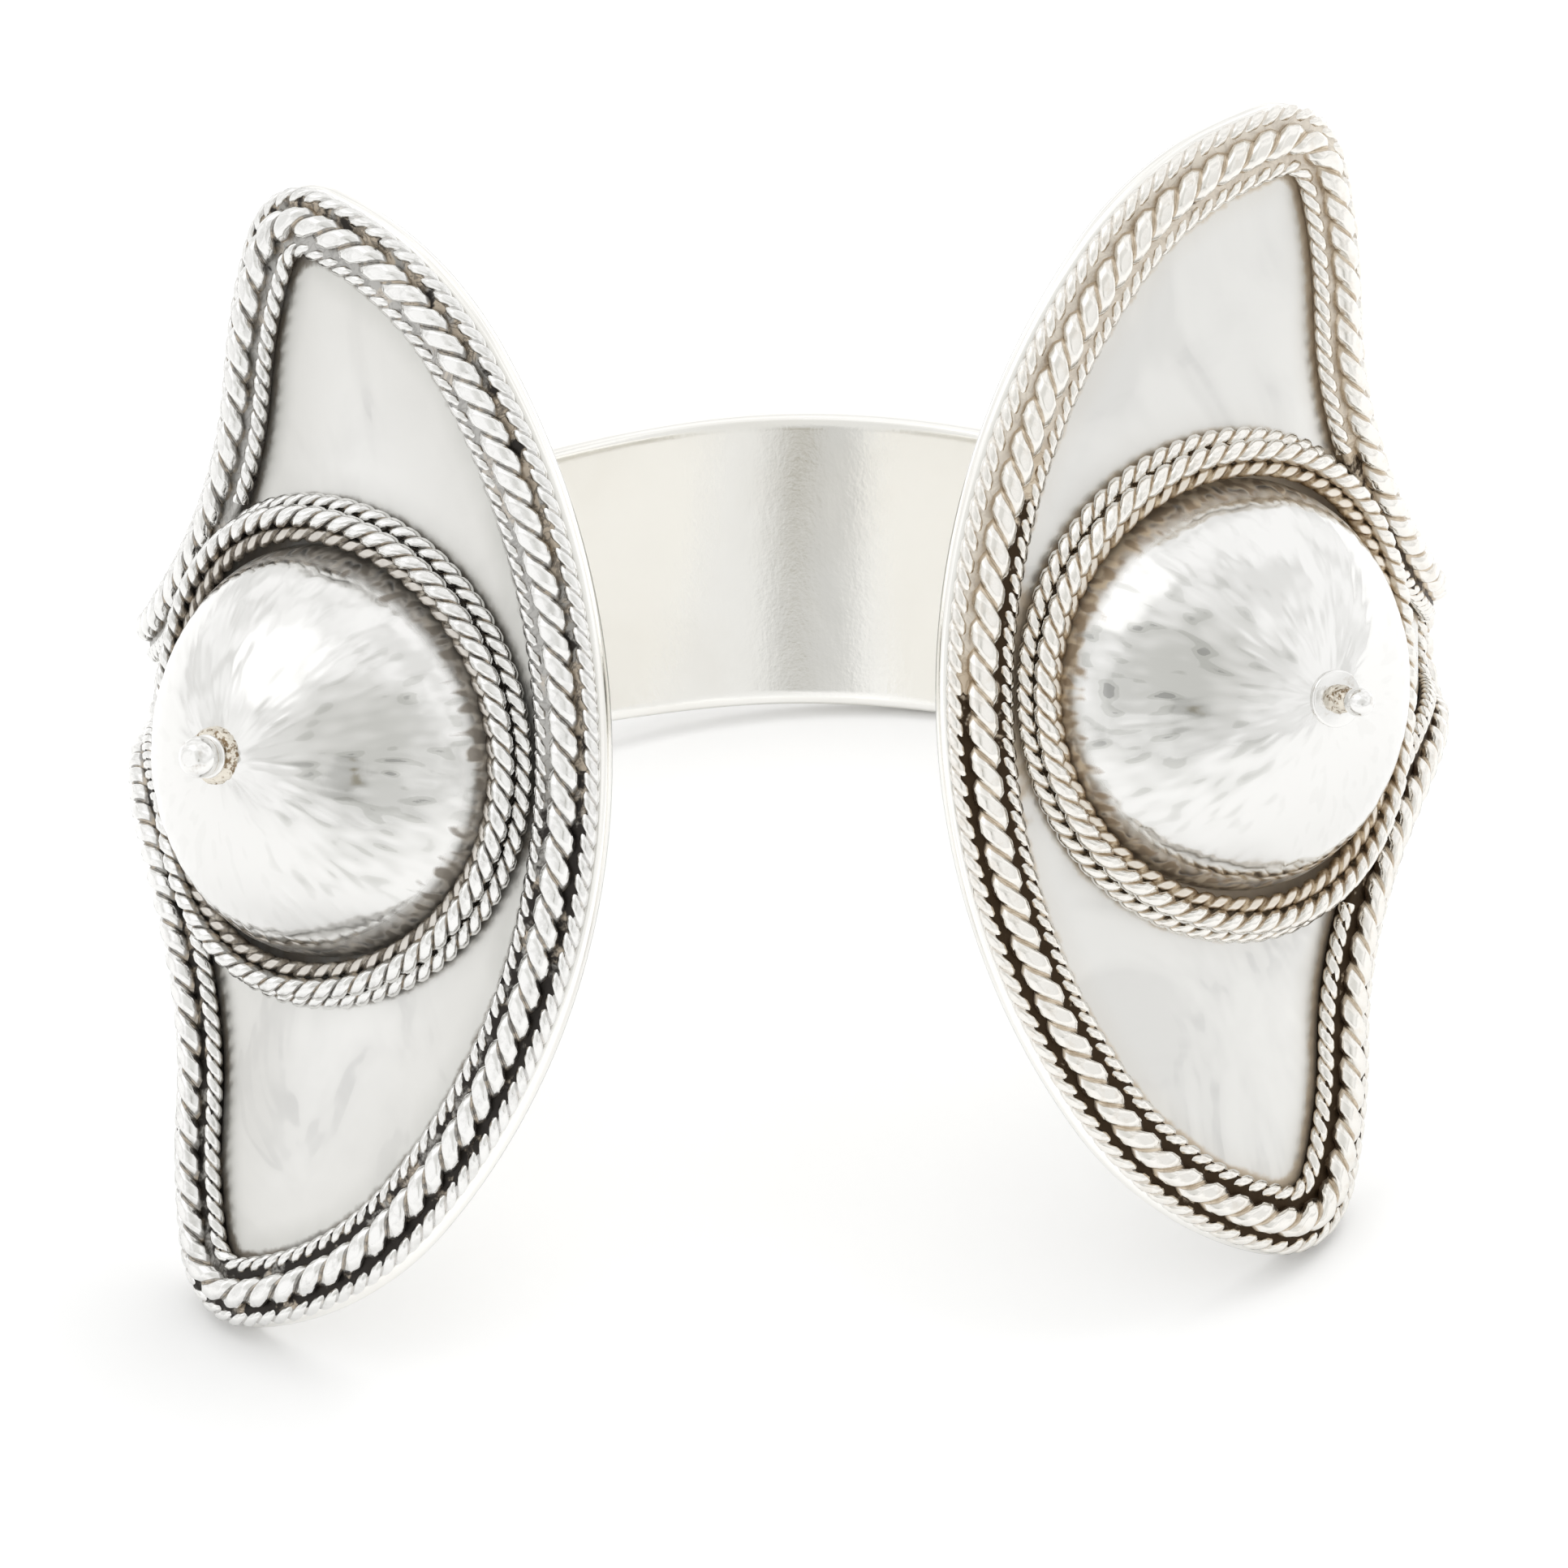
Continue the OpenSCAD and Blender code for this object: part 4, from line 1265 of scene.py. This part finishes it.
@dataclass
class TwistedWire:
    """Plump strands twisted together, bent along a path and rubbed flat away from its bed.

    The path runs along the wire's middle, and under runs beside it on the side of the bed.
    A lobe is the length from one strand's crown to the next.
    """

    name: str
    thickness: float
    lobe: float
    path: list[Vector]
    under: list[Vector]
    replaced: list[str]
    closed: bool = True
    look: Look = Look.FINE
    strands: int = 2
    strand_share: float = 0.70
    strand_sides: int = 14
    steps_per_lobe: int = 8
    rubbed_off: float = 0.10
    weld: float = 0.03 * MM
    flat_at: float = 0.86

    def onward(self, points: list[Vector]) -> list[Vector]:
        """The point after each one of a path, back at the first where the wire closes."""
        return points[1:] + ([points[0]] if self.closed else [])

    @cached_property
    def reached(self) -> list[float]:
        """Length of the path up to each of its points."""
        steps = [(b - a).length for a, b in zip(self.path, self.onward(self.path))]
        return [0.0] + list(accumulate(steps))

    def twist_up(self) -> bpy.types.Object:
        """Makes the straight twisted wire along X."""
        length = self.reached[-1]
        lobes = max(2, round(length / self.lobe))
        Bench.clear_selection()
        strand = self.strand_share * self.thickness / 2
        off = (1 + self.rubbed_off) * self.thickness / 2 - strand
        bpy.ops.mesh.primitive_circle_add(vertices=self.strand_sides, radius=strand,
                                          location=(0, 0, 0))
        wire = bpy.context.object
        wire.name = self.name
        wire.data.name = self.name
        bpy.ops.object.mode_set(mode="EDIT")
        bpy.ops.mesh.select_all(action="SELECT")
        bpy.ops.transform.rotate(value=math.pi / 2, orient_axis="Y", center_override=(0, 0, 0))
        bpy.ops.transform.translate(value=(0, off, 0))
        for _ in range(self.strands - 1):
            bpy.ops.mesh.duplicate()
            bpy.ops.transform.rotate(value=2 * math.pi / self.strands, orient_axis="X",
                                     center_override=(0, 0, 0))
        bpy.ops.object.mode_set(mode="OBJECT")
        screw = wire.modifiers.new("twist", "SCREW")
        screw.axis = "X"
        screw.angle = -2 * math.pi * lobes / self.strands
        screw.screw_offset = length
        steps = lobes * self.steps_per_lobe
        screw.steps = steps
        screw.render_steps = steps
        screw.use_merge_vertices = False
        screw.use_normal_calculate = False
        Bench.apply(wire)
        return wire

    def bend(self, wire: bpy.types.Object) -> None:
        """Bends the straight wire along its path."""
        Bench.clear_selection()
        bpy.ops.curve.primitive_nurbs_path_add(location=(0, 0, 0))
        route = bpy.context.object
        route.data.splines.clear()
        spline = route.data.splines.new("POLY")
        spline.points.add(len(self.path) - 1)
        for point, place in zip(spline.points, self.path):
            point.co = (*place, 1)
        spline.use_cyclic_u = self.closed
        route.data.dimensions = "3D"
        route.data.twist_mode = "MINIMUM"
        bow = wire.modifiers.new("bend", "CURVE")
        bow.object = route
        bow.deform_axis = "POS_X"
        Bench.apply(wire)
        bpy.data.objects.remove(route)

    def rub_flat(self, wire: bpy.types.Object, lengths: list[float]) -> list[float]:
        """Flattens the side of the bent wire that looks away from its bed.

        Args:
            wire: The bent wire.
            lengths: Where each of its points lies along the path.

        Returns:
            Height of each point above the wire's middle, in radii.
        """
        r = self.thickness / 2
        ends, floors = self.onward(self.path), self.onward(self.under)
        heights = []
        for vertex, length in zip(wire.data.vertices, lengths):
            k = min(max(0, bisect_right(self.reached, length) - 1), len(ends) - 1)
            share = (length - self.reached[k]) / (self.reached[k + 1] - self.reached[k])
            middle = self.path[k].lerp(ends[k], share)
            way = (middle - self.under[k].lerp(floors[k], share)).normalized()
            height = (vertex.co - middle).dot(way) / r
            heights.append(height)
            vertex.co -= way * r * max(0.0, height - self.flat_at)
        return heights

    def build(self, material: bpy.types.Material) -> bpy.types.Object:
        """Twists, bends, rubs and dresses the wire.

        Args:
            material: The wire's finish.

        Returns:
            The wire, in place of its CAD nodes.
        """
        wire = self.twist_up()
        r = self.thickness / 2
        Bench.note(wire, "depth", [math.hypot(v.co.y, v.co.z) / r for v in wire.data.vertices])
        for vertex in wire.data.vertices:
            out = max(1.0, math.hypot(vertex.co.y, vertex.co.z) / r)
            vertex.co.y /= out
            vertex.co.z /= out
        lengths = [vertex.co.x for vertex in wire.data.vertices]
        self.bend(wire)
        Bench.note(wire, "top", self.rub_flat(wire, lengths))
        Bench.pick(wire)
        bpy.ops.object.mode_set(mode="EDIT")
        bpy.ops.mesh.select_all(action="SELECT")
        bpy.ops.mesh.remove_doubles(threshold=self.weld)
        bpy.ops.mesh.normals_make_consistent(inside=False)
        bpy.ops.object.mode_set(mode="OBJECT")
        bpy.ops.object.shade_smooth()
        Bench.finish(wire, "rope", material, self.replaced)
        return wire


@dataclass(frozen=True)
class Soot:
    """How far painted shade blackens a valley above and below a height on its shield."""

    above: float
    below: float
    height: float


@dataclass(frozen=True)
class Valleys:
    """The painted shade of a border's two valleys, outside and inside its coarse wire."""

    outer: Soot
    inner: Soot


SOOT = {
    Side.LEFT: Valleys(outer=Soot(above=-0.03, below=0.12, height=0.0),
                       inner=Soot(above=-0.16, below=0.08, height=0.0)),
    Side.RIGHT: Valleys(outer=Soot(above=-0.20, below=0.22, height=-0.5 * MM),
                        inner=Soot(above=-0.17, below=0.20, height=9.0 * MM))}


@dataclass
class Border:
    """The three wires along the edge of one shield, in their bed of solder with painted shade."""

    form: RingForm
    side: Side
    boss: Boss
    bare_rim: float = 0.12 * MM
    fine: float = 0.82 * MM
    outer_lobe: float = 0.98 * MM
    inner_lobe: float = 0.86 * MM
    coarse: float = 1.5 * MM
    coarse_lobe: float = 1.52 * MM
    gap: float = 0.15 * MM
    clearance: float = 0.08 * MM
    fineness: int = 8
    bed_end: float = 3.25 * MM
    bed_share: float = 0.80
    bed_lines: int = 10
    bed_lumps: float = 0.12 * MM
    lump_size: float = 0.6 * MM
    side_shift: float = 0.01
    soot_reach: float = 3.0 * MM
    nearest_room: float = 0.6 * MM

    @property
    def coarse_inset(self) -> float:
        """Distance of the coarse wire's middle from the edge."""
        return self.bare_rim + self.fine + self.clearance + self.coarse / 2

    def along(self, inset: float, n: float, run: Sequence[int] | None = None) -> list[Vector]:
        """Path of a border wire where the ring rests.

        Args:
            inset: Distance of the path from the edge.
            n: Height of the path above the face.
            run: Numbers of the points to keep, or nothing for them all.

        Returns:
            The path's points.
        """
        path = self.form.ring_path(inset, self.fineness)
        return [self.form.resting(self.side, *path[i], n)
                for i in (range(len(path)) if run is None else run)]

    def open_run(self, inset: float, behind: bool) -> list[int]:
        """The inner wire's points along its path, cut where the collar is in its way.

        Args:
            inset: Distance of the wire from the edge.
            behind: True for the length round the neck, behind the boss.

        Returns:
            The numbers of those points.
        """
        keep = self.fine / 2 + 2 * self.clearance
        path = self.form.ring_path(inset, self.fineness)
        rooms = [self.boss.room(t, v) - keep for t, v in path]
        count = len(path)
        start = count // 2 if behind else 0
        arms = {}
        for way in (1, -1):
            i, arms[way] = start + way, []
            while len(arms[way]) <= count // 2 and not self.is_cut(rooms, path, i, way):
                arms[way].append(i % count)
                i += way
        return arms[-1][::-1] + [start] + arms[1]

    def is_cut(self, rooms: list[float], path: list[Pair], i: int, way: int) -> bool:
        """True where the wire runs into the collar, or passes near it and starts to leave.

        Args:
            rooms: Room between the wire and the collar at each point of the path.
            path: The wire's path round the shield.
            i: Number of the point, which may run past either end of the path.
            way: 1 or -1, the direction of travel along the path.

        Returns:
            Whether the wire ends at this point.
        """
        count = len(path)
        here, there = rooms[i % count], rooms[(i + way) % count]
        leaving = here < self.nearest_room and there > here
        return path[i % count][0] < self.form.boss_at and (here < 0 or leaving)

    def build_bed(self, material: bpy.types.Material) -> bpy.types.Object:
        """Shapes the bed of solder that the wires are sunk in.

        Args:
            material: The bed's finish.

        Returns:
            The bed, dressed.
        """
        lines = self.bed_lines
        near, far = self.bare_rim + self.fine / 2, self.bed_end
        insets = [near + (far - near) * k / lines for k in range(lines + 1)]
        paths = [self.form.ring_path(inset, self.fineness) for inset in insets]
        count = len(paths[0])
        tall = self.clearance + self.bed_share * self.fine
        rows = 2 * lines + 2

        def line(row: int) -> int:
            """Which line across the bed a row lies on."""
            row %= rows
            return row if row <= lines else rows - 1 - row

        def place(column: int, row: int) -> Vector:
            """Place of one point of the bed."""
            t, v = paths[line(row)][column % count]
            low = row % rows > lines
            spot = Vector((t, v, self.side_shift * self.side.value))
            lump = noise.noise(spot / self.lump_size)
            n = self.clearance / 2 if low else tall + self.bed_lumps * lump
            return self.form.resting(self.side, t, v, n)

        def soot(column: int, row: int) -> float:
            """How far painted shade blackens the bed, more so towards the lower tip."""
            v = paths[line(row)][column % count][1]
            valleys = SOOT[self.side]
            run = valleys.inner if inside(column, row) else valleys.outer
            share = min(1.0, max(0.0, (1 - (v - run.height) / self.soot_reach) / 2))
            return run.above + (run.below - run.above) * share

        def inside(column: int, row: int) -> float:
            """One between the coarse wire and the inner one."""
            return float(insets[line(row)] > self.coarse_inset)

        bed = Bench.shell(f"solder_bed_{self.side.word}", count, rows, place,
                          self.side is Side.RIGHT, {"soot": soot, "inside": inside})
        Bench.finish(bed, "rope", material)
        return bed

    def wires(self) -> list[TwistedWire]:
        """The wires of this shield's border."""
        outer = self.bare_rim + self.fine / 2
        coarse = self.coarse_inset
        inner = coarse + (self.fine + self.coarse) / 2 + self.gap
        fine_n = self.clearance + self.fine / 2
        coarse_n = self.clearance + self.coarse / 2
        side = self.side.word
        front, behind = self.open_run(inner, False), self.open_run(inner, True)

        def wire(word: str, thickness: float, lobe: float, inset: float, n: float,
                 run: list[int] | None = None, **more: object) -> TwistedWire:
            """One wire of the border, with its bed below the coarse wire."""
            return TwistedWire(f"{word}_twist_{side}", thickness, lobe,
                               self.along(inset, n, run), self.along(coarse, -self.fine, run),
                               [f"{word}_rope_{side}"], **more)

        return [wire("outer", self.fine, self.outer_lobe, outer, fine_n, look=Look.WORN),
                wire("coarse", self.coarse, self.coarse_lobe, coarse, coarse_n,
                     look=Look.COARSE, strand_sides=20, steps_per_lobe=12),
                wire("inner", self.fine, self.inner_lobe, inner, fine_n, front, closed=False),
                wire("neck", self.fine, self.inner_lobe, inner, fine_n, behind, closed=False)]


@dataclass(frozen=True)
class FinialForm:
    """Sizes of one finial, measured up from the top of its dome."""

    shift: Pair
    bead_d: float
    bead_up: float
    washer_d: float
    washer_at: float
    knob_d: float
    knob_at: float
    stretch: float
    flat_top: float


FINIALS = {
    Side.LEFT: FinialForm(shift=(-0.5 * MM, 0.2 * MM), bead_d=2.75 * MM, bead_up=0.72 * MM,
                          washer_d=2.1 * MM, washer_at=0.68 * MM, knob_d=2.0 * MM,
                          knob_at=1.25 * MM, stretch=1.0, flat_top=0.90),
    Side.RIGHT: FinialForm(shift=(-0.5 * MM, 0.0), bead_d=1.4 * MM, bead_up=1.75 * MM,
                           washer_d=2.75 * MM, washer_at=0.16 * MM, knob_d=1.34 * MM,
                           knob_at=2.1 * MM, stretch=1.32, flat_top=1.0)}


@dataclass
class Finial:
    """The bead of solder, the washer and the knob on top of a dome."""

    form: RingForm
    side: Side
    boss: Boss
    sunk: float = 0.12 * MM
    washer_thick: float = 0.26 * MM
    washer_edge: float = 0.11 * MM
    grain_size: float = 0.24 * MM
    grain_height: float = 0.09 * MM

    @cached_property
    def sizes(self) -> FinialForm:
        """Sizes of this side's finial."""
        return FINIALS[self.side]

    def seat(self) -> Matrix:
        """Place of the finial's foot, with Z along its axis."""
        form = self.form
        along, up = self.sizes.shift
        way = form.facing(self.side, form.boss_at)
        foot = form.standing(self.side, form.boss_at + along, form.boss_up(self.side) + up, 0)
        foot += way * (self.boss.dome_height - self.sunk)
        turn = way.to_track_quat("Z", "Y").to_matrix().to_4x4()
        return form.laid_down @ Matrix.Translation(foot) @ turn

    def dress(self, piece: bpy.types.Object, word: str, material: bpy.types.Material,
              replaced: Sequence[str] = ()) -> None:
        """Names a part of the finial, sets it on its dome and gives it its finish.

        Args:
            piece: The part, shaped at the origin with Z along the finial's axis.
            word: Its name without the side.
            material: Its finish.
            replaced: The CAD nodes that it stands for.
        """
        piece.name = f"{word}_{self.side.word}"
        bpy.ops.object.shade_smooth()
        Bench.settle(piece, self.seat())
        Bench.finish(piece, "finial", material, replaced)

    def build_bead(self, material: bpy.types.Material) -> None:
        """Shapes the grainy heap of solder."""
        Bench.clear_selection()
        bpy.ops.mesh.primitive_uv_sphere_add(segments=72, ring_count=48, radius=1)
        bead = bpy.context.object
        wide, tall = self.sizes.bead_d / 2, self.sizes.bead_up
        for vertex in bead.data.vertices:
            place = Vector((vertex.co.x * wide, vertex.co.y * wide, vertex.co.z * tall))
            lump = noise.noise(place / self.grain_size) * self.grain_height
            vertex.co = place + vertex.co * lump
        self.dress(bead, "solder_bead", material)

    def build_washer(self, material: bpy.types.Material) -> None:
        """Shapes the thin washer."""
        Bench.clear_selection()
        bpy.ops.mesh.primitive_cylinder_add(vertices=48, radius=self.sizes.washer_d / 2,
                                            depth=self.washer_thick,
                                            location=(0, 0, self.sizes.washer_at))
        washer = bpy.context.object
        round_edge = washer.modifiers.new("edge", "BEVEL")
        round_edge.width = self.washer_edge
        round_edge.segments = 3
        Bench.apply(washer)
        self.dress(washer, "washer", material)

    def build_knob(self, material: bpy.types.Material) -> None:
        """Shapes the knob, flat on top on the left and round on the right."""
        Bench.clear_selection()
        bpy.ops.mesh.primitive_uv_sphere_add(segments=48, ring_count=32, radius=1,
                                             location=(0, 0, self.sizes.knob_at))
        knob = bpy.context.object
        r = self.sizes.knob_d / 2
        for vertex in knob.data.vertices:
            level = min(vertex.co.z, self.sizes.flat_top)
            vertex.co = Vector((vertex.co.x * r, vertex.co.y * r,
                                level * r * self.sizes.stretch))
        self.dress(knob, "knob", material, [f"finial_{self.side.word}"])


@dataclass(frozen=True)
class Glow:
    """A soft round field of the sky, lighter or darker than the rest."""

    way: Triple
    core: float
    reach: float
    tint: Colour


@dataclass
class Studio:
    """Floor, light and camera."""

    form: RingForm
    picture: int = 1932
    focal_pixels: float = 11564.76
    sensor: float = 36.0
    distance: float = 450.0 * MM
    azimuth: float = -0.03287
    elevation: float = 0.1495
    roll: float = -0.01984
    aim: Triple = (0.36299 * MM, 0.0, -3.31841 * MM)
    floor_size: float = 8.0
    floor_white: Colour = (0.95, 0.95, 0.95)
    sky_cloud: Grain = Grain(scale=3.0, detail=2)
    sky_fade: Fade = Fade(low=0.38, high=0.64)
    sky_light: Colour = (1.17, 1.17, 1.17)
    sky_dim: Colour = (0.93, 0.93, 0.92)
    key_place: Triple = (0.22, 0.30, 0.60)
    key_size: float = 0.45
    key_power: float = 1.5
    glows: tuple[Glow, ...] = (
        Glow(way=(0.0, -0.70, 0.70), core=math.radians(8), reach=math.radians(40),
             tint=(0.84, 0.84, 0.82)),
        Glow(way=(-0.067, -0.93, 0.366), core=math.radians(7), reach=math.radians(10.5),
             tint=(0.66, 0.66, 0.645)),
        Glow(way=(-0.015, -0.93, 0.366), core=math.radians(1.5), reach=math.radians(4),
             tint=(0.36, 0.33, 0.25)),
        Glow(way=(-0.50, 0.05, 0.86), core=math.radians(14), reach=math.radians(24),
             tint=(1.42, 1.42, 1.42)))

    def camera(self) -> None:
        """Places the camera as it stood to the upright ring, then lays it down with it."""
        look = Vector((math.sin(self.azimuth) * math.cos(self.elevation),
                       math.cos(self.azimuth) * math.cos(self.elevation),
                       -math.sin(self.elevation)))
        level = Vector((math.cos(self.azimuth), -math.sin(self.azimuth), 0))
        above = level.cross(look)
        c, s = math.cos(self.roll), math.sin(self.roll)
        right, up = c * level - s * above, s * level + c * above
        place = Vector(self.aim) - self.distance * look
        stand = Matrix((right, up, -look)).transposed().to_4x4()
        bpy.ops.object.camera_add()
        camera = bpy.context.object
        camera.matrix_world = self.form.laid_down @ Matrix.Translation(place) @ stand
        camera.data.sensor_width = self.sensor
        camera.data.lens = self.sensor * self.focal_pixels / self.picture
        camera.data.clip_start = 0.01
        camera.data.clip_end = 20.0
        bpy.context.scene.camera = camera

    def floor(self) -> None:
        """Lays the pale floor."""
        Bench.clear_selection()
        bpy.ops.mesh.primitive_plane_add(size=self.floor_size, location=(0, 0, 0))
        floor = bpy.context.object
        floor.name = "floor"
        material, graph = shader_graph("pale floor")
        shader = graph.node("ShaderNodeBsdfPrincipled", inputs={
            "Base Color": (*self.floor_white, 1), "Roughness": 0.9,
            "Specular IOR Level": 0.0})
        graph.node("ShaderNodeOutputMaterial", inputs={"Surface": shader})
        floor.data.materials.append(material)

    def sky(self) -> None:
        """Lights the ring from all round, with lighter and darker fields that it mirrors."""
        world = bpy.data.worlds.new("studio")
        world.use_nodes = True
        bpy.context.scene.world = world
        graph = Graph(world.node_tree)
        way = graph.node("ShaderNodeTexCoord", output="Generated")
        cloud = graph.noise(way, self.sky_cloud)
        colour = graph.blend(graph.rise(cloud, self.sky_fade), self.sky_light, self.sky_dim)
        for glow in self.glows:
            aim = tuple(Vector(glow.way).normalized())
            near = graph.node("ShaderNodeVectorMath", {"operation": "DOT_PRODUCT"},
                              {0: way, 1: aim}, output="Value")
            rim = Fade(low=math.cos(glow.reach), high=math.cos(glow.core))
            colour = graph.blend(graph.rise(near, rim), colour, glow.tint)
        background = graph.node("ShaderNodeBackground", inputs={"Color": colour,
                                                                 "Strength": 1.0})
        graph.node("ShaderNodeOutputWorld", inputs={"Surface": background})

    def key_light(self) -> None:
        """Hangs a square softbox that looks at the ring."""
        place = Vector(self.key_place)
        bpy.ops.object.light_add(type="AREA", location=place)
        light = bpy.context.object
        light.name = "key"
        light.data.size = self.key_size
        light.data.energy = self.key_power
        light.visible_glossy = False
        light.rotation_euler = (-place).to_track_quat("-Z", "Y").to_euler()

    def build(self) -> None:
        """Sets up the whole studio."""
        self.camera()
        self.floor()
        self.sky()
        self.key_light()
        view = bpy.context.scene.view_settings
        view.view_transform = "Standard"


def build_side(form: RingForm, side: Side, boss: Boss) -> None:
    """Builds the boss, finial and wires of one shield."""
    tarnish = WARM if side is Side.RIGHT else COOL
    boss.build_dome(DomeSilver().material(tarnish))
    finishes = {look: look.value.material(tarnish) for look in Look}
    border = Border(form, side, boss)
    border.build_bed(BedSilver().material(tarnish))
    for wire in border.wires() + boss.wires():
        wire.build(finishes[wire.look])
    finial = Finial(form, side, boss)
    knob_finish = KnobSilver().material()
    finial.build_bead(SolderSilver().material())
    finial.build_washer(knob_finish)
    finial.build_knob(knob_finish)


def main() -> None:
    """Builds every piece of the ring, then the studio."""
    logging.basicConfig(level=logging.INFO, format="%(name)s: %(message)s")
    form = RingForm()
    bosses = {side: Boss(form, side) for side in Side}
    HoopSheet(form, bosses).build()
    for side in Side:
        build_side(form, side, bosses[side])
    Studio(form).build()


if __name__ == "__main__":
    main()
